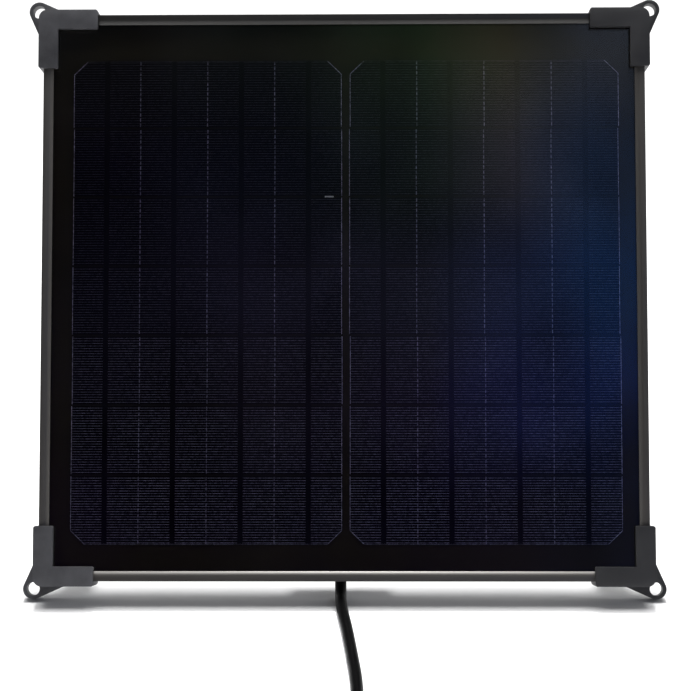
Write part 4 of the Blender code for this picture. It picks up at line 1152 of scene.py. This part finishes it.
def make_connector():
    """Ribbed boot, insert with two contact holes, o-ring, and the knurled coupling ring."""
    up = Vector((0.0, 0.0, 1.0))
    turn = Matrix((up.cross(RING_AXIS), up, RING_AXIS)).transposed().to_4x4()
    low, high = node_box("connector_boot", turn)
    place = turn @ moved((low.x + high.x) / 2, (low.y + high.y) / 2, low.z)
    profile = [(0.0, 0.0200), (0.0065, 0.0200), (0.0068, 0.0197), (0.0068, 0.0182), (0.0062, 0.0176)]
    ribs = 6
    for rib in range(ribs):
        top = 0.0168 - 0.0024 * rib
        radius = 0.0064 - 0.0003 * rib
        side, root = radius - 0.0001, radius - 0.0007
        profile += [(root, top + 0.0002), (side, top), (radius, top - 0.0003)]
        profile += [(radius, top - 0.0011), (side, top - 0.0014), (root, top - 0.0016)]
    profile += [(0.0044, 0.0016), (0.0046, 0.0012), (0.0046, 0.0003), (0.0043, 0.0), (0.0, 0.0)]
    show("ribbed_boot", turned(profile), SOFT_RUBBER, ["connector_boot"], place=place)

    groove_low, groove_high, nose = 0.0390, 0.0410, 0.0475
    profile = [
        (0.0, nose), (0.0049, nose), (0.0053, nose - 0.0002), (0.0054, nose - 0.0006),
        (0.0054, groove_high), (0.0049, groove_high), (0.0049, groove_low), (0.0054, groove_low),
        (0.0054, 0.0370), (0.0065, 0.0370), (0.0066, 0.0368), (0.0066, 0.0352), (0.0056, 0.0352),
        (0.0056, 0.0313), (0.0074, 0.0313), (0.0076, 0.0310), (0.0076, 0.0212), (0.0072, 0.0203),
        (0.0, 0.0203),
    ]
    insert = turned(profile, 72)
    top, bottom = nose + 0.0025, nose - 0.0075
    for x in (-POLE_OFFSET, POLE_OFFSET):
        hole = turned([(0.0, top), (POLE_RADIUS, top), (POLE_RADIUS, bottom), (0.0, bottom)], 32)
        insert = combined(insert, ("DIFFERENCE", shifted(hole, x)))
    show("plug_insert", insert, BLACK_PLASTIC, ["connector_insert"], place=place)

    minor, major, height = 0.0007, 0.0057, (groove_low + groove_high) / 2
    section = [(major + minor * y, height + minor * x) for x, y in arc((0.0, 0.0), 1.0, 0, 345, 23)]
    ring = turned(section, 72, True)
    show("plug_o_ring", ring, SEAL_RUBBER, ["connector_o_ring"], place=place)

    grip, bore, mouth = 0.0087, 0.0060, 0.0073
    front, web, back = 0.0480, 0.0348, 0.0316
    section = [
        (mouth, front, 0.0), (grip - 0.0008, front, 0.0), (grip - 0.0004, front - 0.0002, 0.0),
        (grip - 0.0003, front - 0.0012, 0.0), (grip, front - 0.0018, 0.0005), (grip, back + 0.0022, 0.0005),
        (grip - 0.0003, back + 0.0014, 0.0), (grip - 0.0004, back + 0.0004, 0.0),
        (grip - 0.0008, back, 0.0), (bore, back, 0.0), (bore, web, 0.0), (mouth, web, 0.0),
    ]
    collar = ridged(section, 192, 24, True)
    show("plug_collar", collar, BLACK_PLASTIC, ["coupling_ring"], "screw_ring", place)


# ---------------------------------------------------------------- materials of the nodes that stay
def dress_nodes():
    """Materials for the model nodes that are shown as they are."""
    finishes = {
        "glass_pane": GLASS,
        "encapsulant": FILM,
        "backsheet": REAR_FILM,
        "ribbon_cross": TINNED,
        "ribbon_left": TINNED,
        "ribbon_right": TINNED,
        "terminal_block": BRASS,
        "bypass_diode": BLACK_PLASTIC,
    }
    for end_name, end in ENDS:
        for side_name, side in SIDES:
            finishes[f"corner_key_{end_name}_{side_name}"] = KEY_METAL
    for node, material in finishes.items():
        mesh = frame["nodes"][node].data
        mesh.materials.clear()
        mesh.materials.append(material)


# ---------------------------------------------------------------- floor and light
def make_floor():
    """A plain white floor."""
    mesh = bpy.data.meshes.new("floor")
    corners = [(x * FLOOR_REACH, y * FLOOR_REACH, 0) for x, y in ((-1, -1), (1, -1), (1, 1), (-1, 1))]
    mesh.from_pydata(corners, [], [(0, 1, 2, 3)])
    mesh.materials.append(principled("floor", (0.90, 0.90, 0.90), 0.9, Specular_IOR_Level=0.1)[0])
    new_object("floor", mesh)


def make_lamps():
    """A spot high in the panel's own plane, and a wide soft box overhead that faces the origin."""
    data = bpy.data.lights.new("spot", "SPOT")
    data.energy = 4 * math.pi * math.pi * SPOT_REACH * SPOT_REACH * SPOT_RADIANCE
    data.shadow_soft_size = SPOT_REACH * math.tan(SPOT_SOFTNESS)
    data.spot_size = SPOT_CONE
    data.spot_blend = SPOT_BLEND
    spot = new_object("spot", data)
    spot.location = (0.0, SPOT_REACH * math.sin(SPOT_TILT) + SPOT_SHIFT, SPOT_REACH * math.cos(SPOT_TILT))
    spot.rotation_euler = (SPOT_AIM - spot.location).to_track_quat("-Z", "Y").to_euler()

    data = bpy.data.lights.new("overhead_box", "AREA")
    data.shape = "RECTANGLE"
    data.size, data.size_y = OVERHEAD_SIZE
    data.energy = OVERHEAD_RADIANCE * math.pi * OVERHEAD_SIZE[0] * OVERHEAD_SIZE[1]
    lamp = new_object("overhead_box", data)
    rise, reach = OVERHEAD_RISE, OVERHEAD_REACH
    lamp.location = (0.0, -reach * math.cos(rise), reach * math.sin(rise))
    lamp.rotation_euler = (math.pi / 2 - rise, 0.0, 0.0)


def ramp(tree, value, stops):
    """A smooth colour ramp over (place, colour) stops."""
    node = add(tree, "ShaderNodeValToRGB", {"Fac": value})
    node.color_ramp.interpolation = "EASE"
    elements = node.color_ramp.elements
    while len(elements) < len(stops):
        elements.new(0.5)
    for element, (place, colour) in zip(elements, stops):
        element.position = place
        element.color = (*colour, 1.0)
    return node.outputs["Color"]


def math_node(tree, operation, *values):
    """One Math node's result."""
    return add(tree, "ShaderNodeMath", dict(enumerate(values)), operation=operation).outputs[0]


def make_world():
    """A dim studio, paler on the right, with tinted things in front that the glass mirrors."""
    world = bpy.data.worlds.new("studio")
    world.use_nodes = True
    bpy.context.scene.world = world
    tree = world.node_tree
    coords = add(tree, "ShaderNodeTexCoord").outputs["Generated"]
    x, y, z = add(tree, "ShaderNodeSeparateXYZ", {"Vector": coords}).outputs
    forward = math_node(tree, "MULTIPLY", y, -1.0)
    ahead = math_node(tree, "MAXIMUM", forward, 0.02)
    across = math_node(tree, "DIVIDE", x, ahead)
    above = math_node(tree, "DIVIDE", z, ahead)

    height = spread(tree, above, 0.0, 1.0, *TINT_SPAN)
    tints, last = None, None
    for place, colours in TINT_COLUMNS:
        column = ramp(tree, height, list(zip(TINT_HEIGHTS, colours)))
        if tints is not None:
            column = between(tree, spread(tree, across, 0.0, 1.0, last, place), tints, column)
        tints, last = column, place
    cloud = spread(tree, noise(tree, coords, 13.0, 2.0, 0.5), 0.50, 1.45)
    tints = add(tree, "ShaderNodeVectorMath", {0: tints, 1: cloud}, operation="MULTIPLY").outputs["Vector"]

    stops = [(place, (grey, grey, grey)) for place, grey in ((0.0, 0.40), (0.55, 0.33), (0.9, 0.75))]
    sides = ramp(tree, spread(tree, x, 0.0, 1.0, -1.0, 1.0), stops)
    sky = between(tree, spread(tree, z, 0.0, 1.0, 0.2, 0.9), sides, (0.26, 0.26, 0.26))

    beside = spread(tree, math_node(tree, "ABSOLUTE", across), 1.0, 0.0, 0.5, 1.4)
    below = spread(tree, above, 1.0, 0.0, 1.0, 1.9)
    facing = math_node(tree, "GREATER_THAN", forward, 0.02)
    window = math_node(tree, "MULTIPLY", math_node(tree, "MULTIPLY", beside, below), facing)
    tree.links.new(between(tree, window, sky, tints), tree.nodes["Background"].inputs["Color"])


# ---------------------------------------------------------------- making
make_camera()
lead = make_lead()
make_gland()
make_strap()
make_connector()
make_frame()
make_protectors()
make_cells()
make_junction_box()
for side_name, side in SIDES:
    make_bracket(side_name, side)
    make_bolt(side_name, side)
    make_knob(side_name, side)
make_stand()
dress_nodes()
make_floor()
make_lamps()
make_world()
bpy.context.scene.view_settings.view_transform = "Standard"
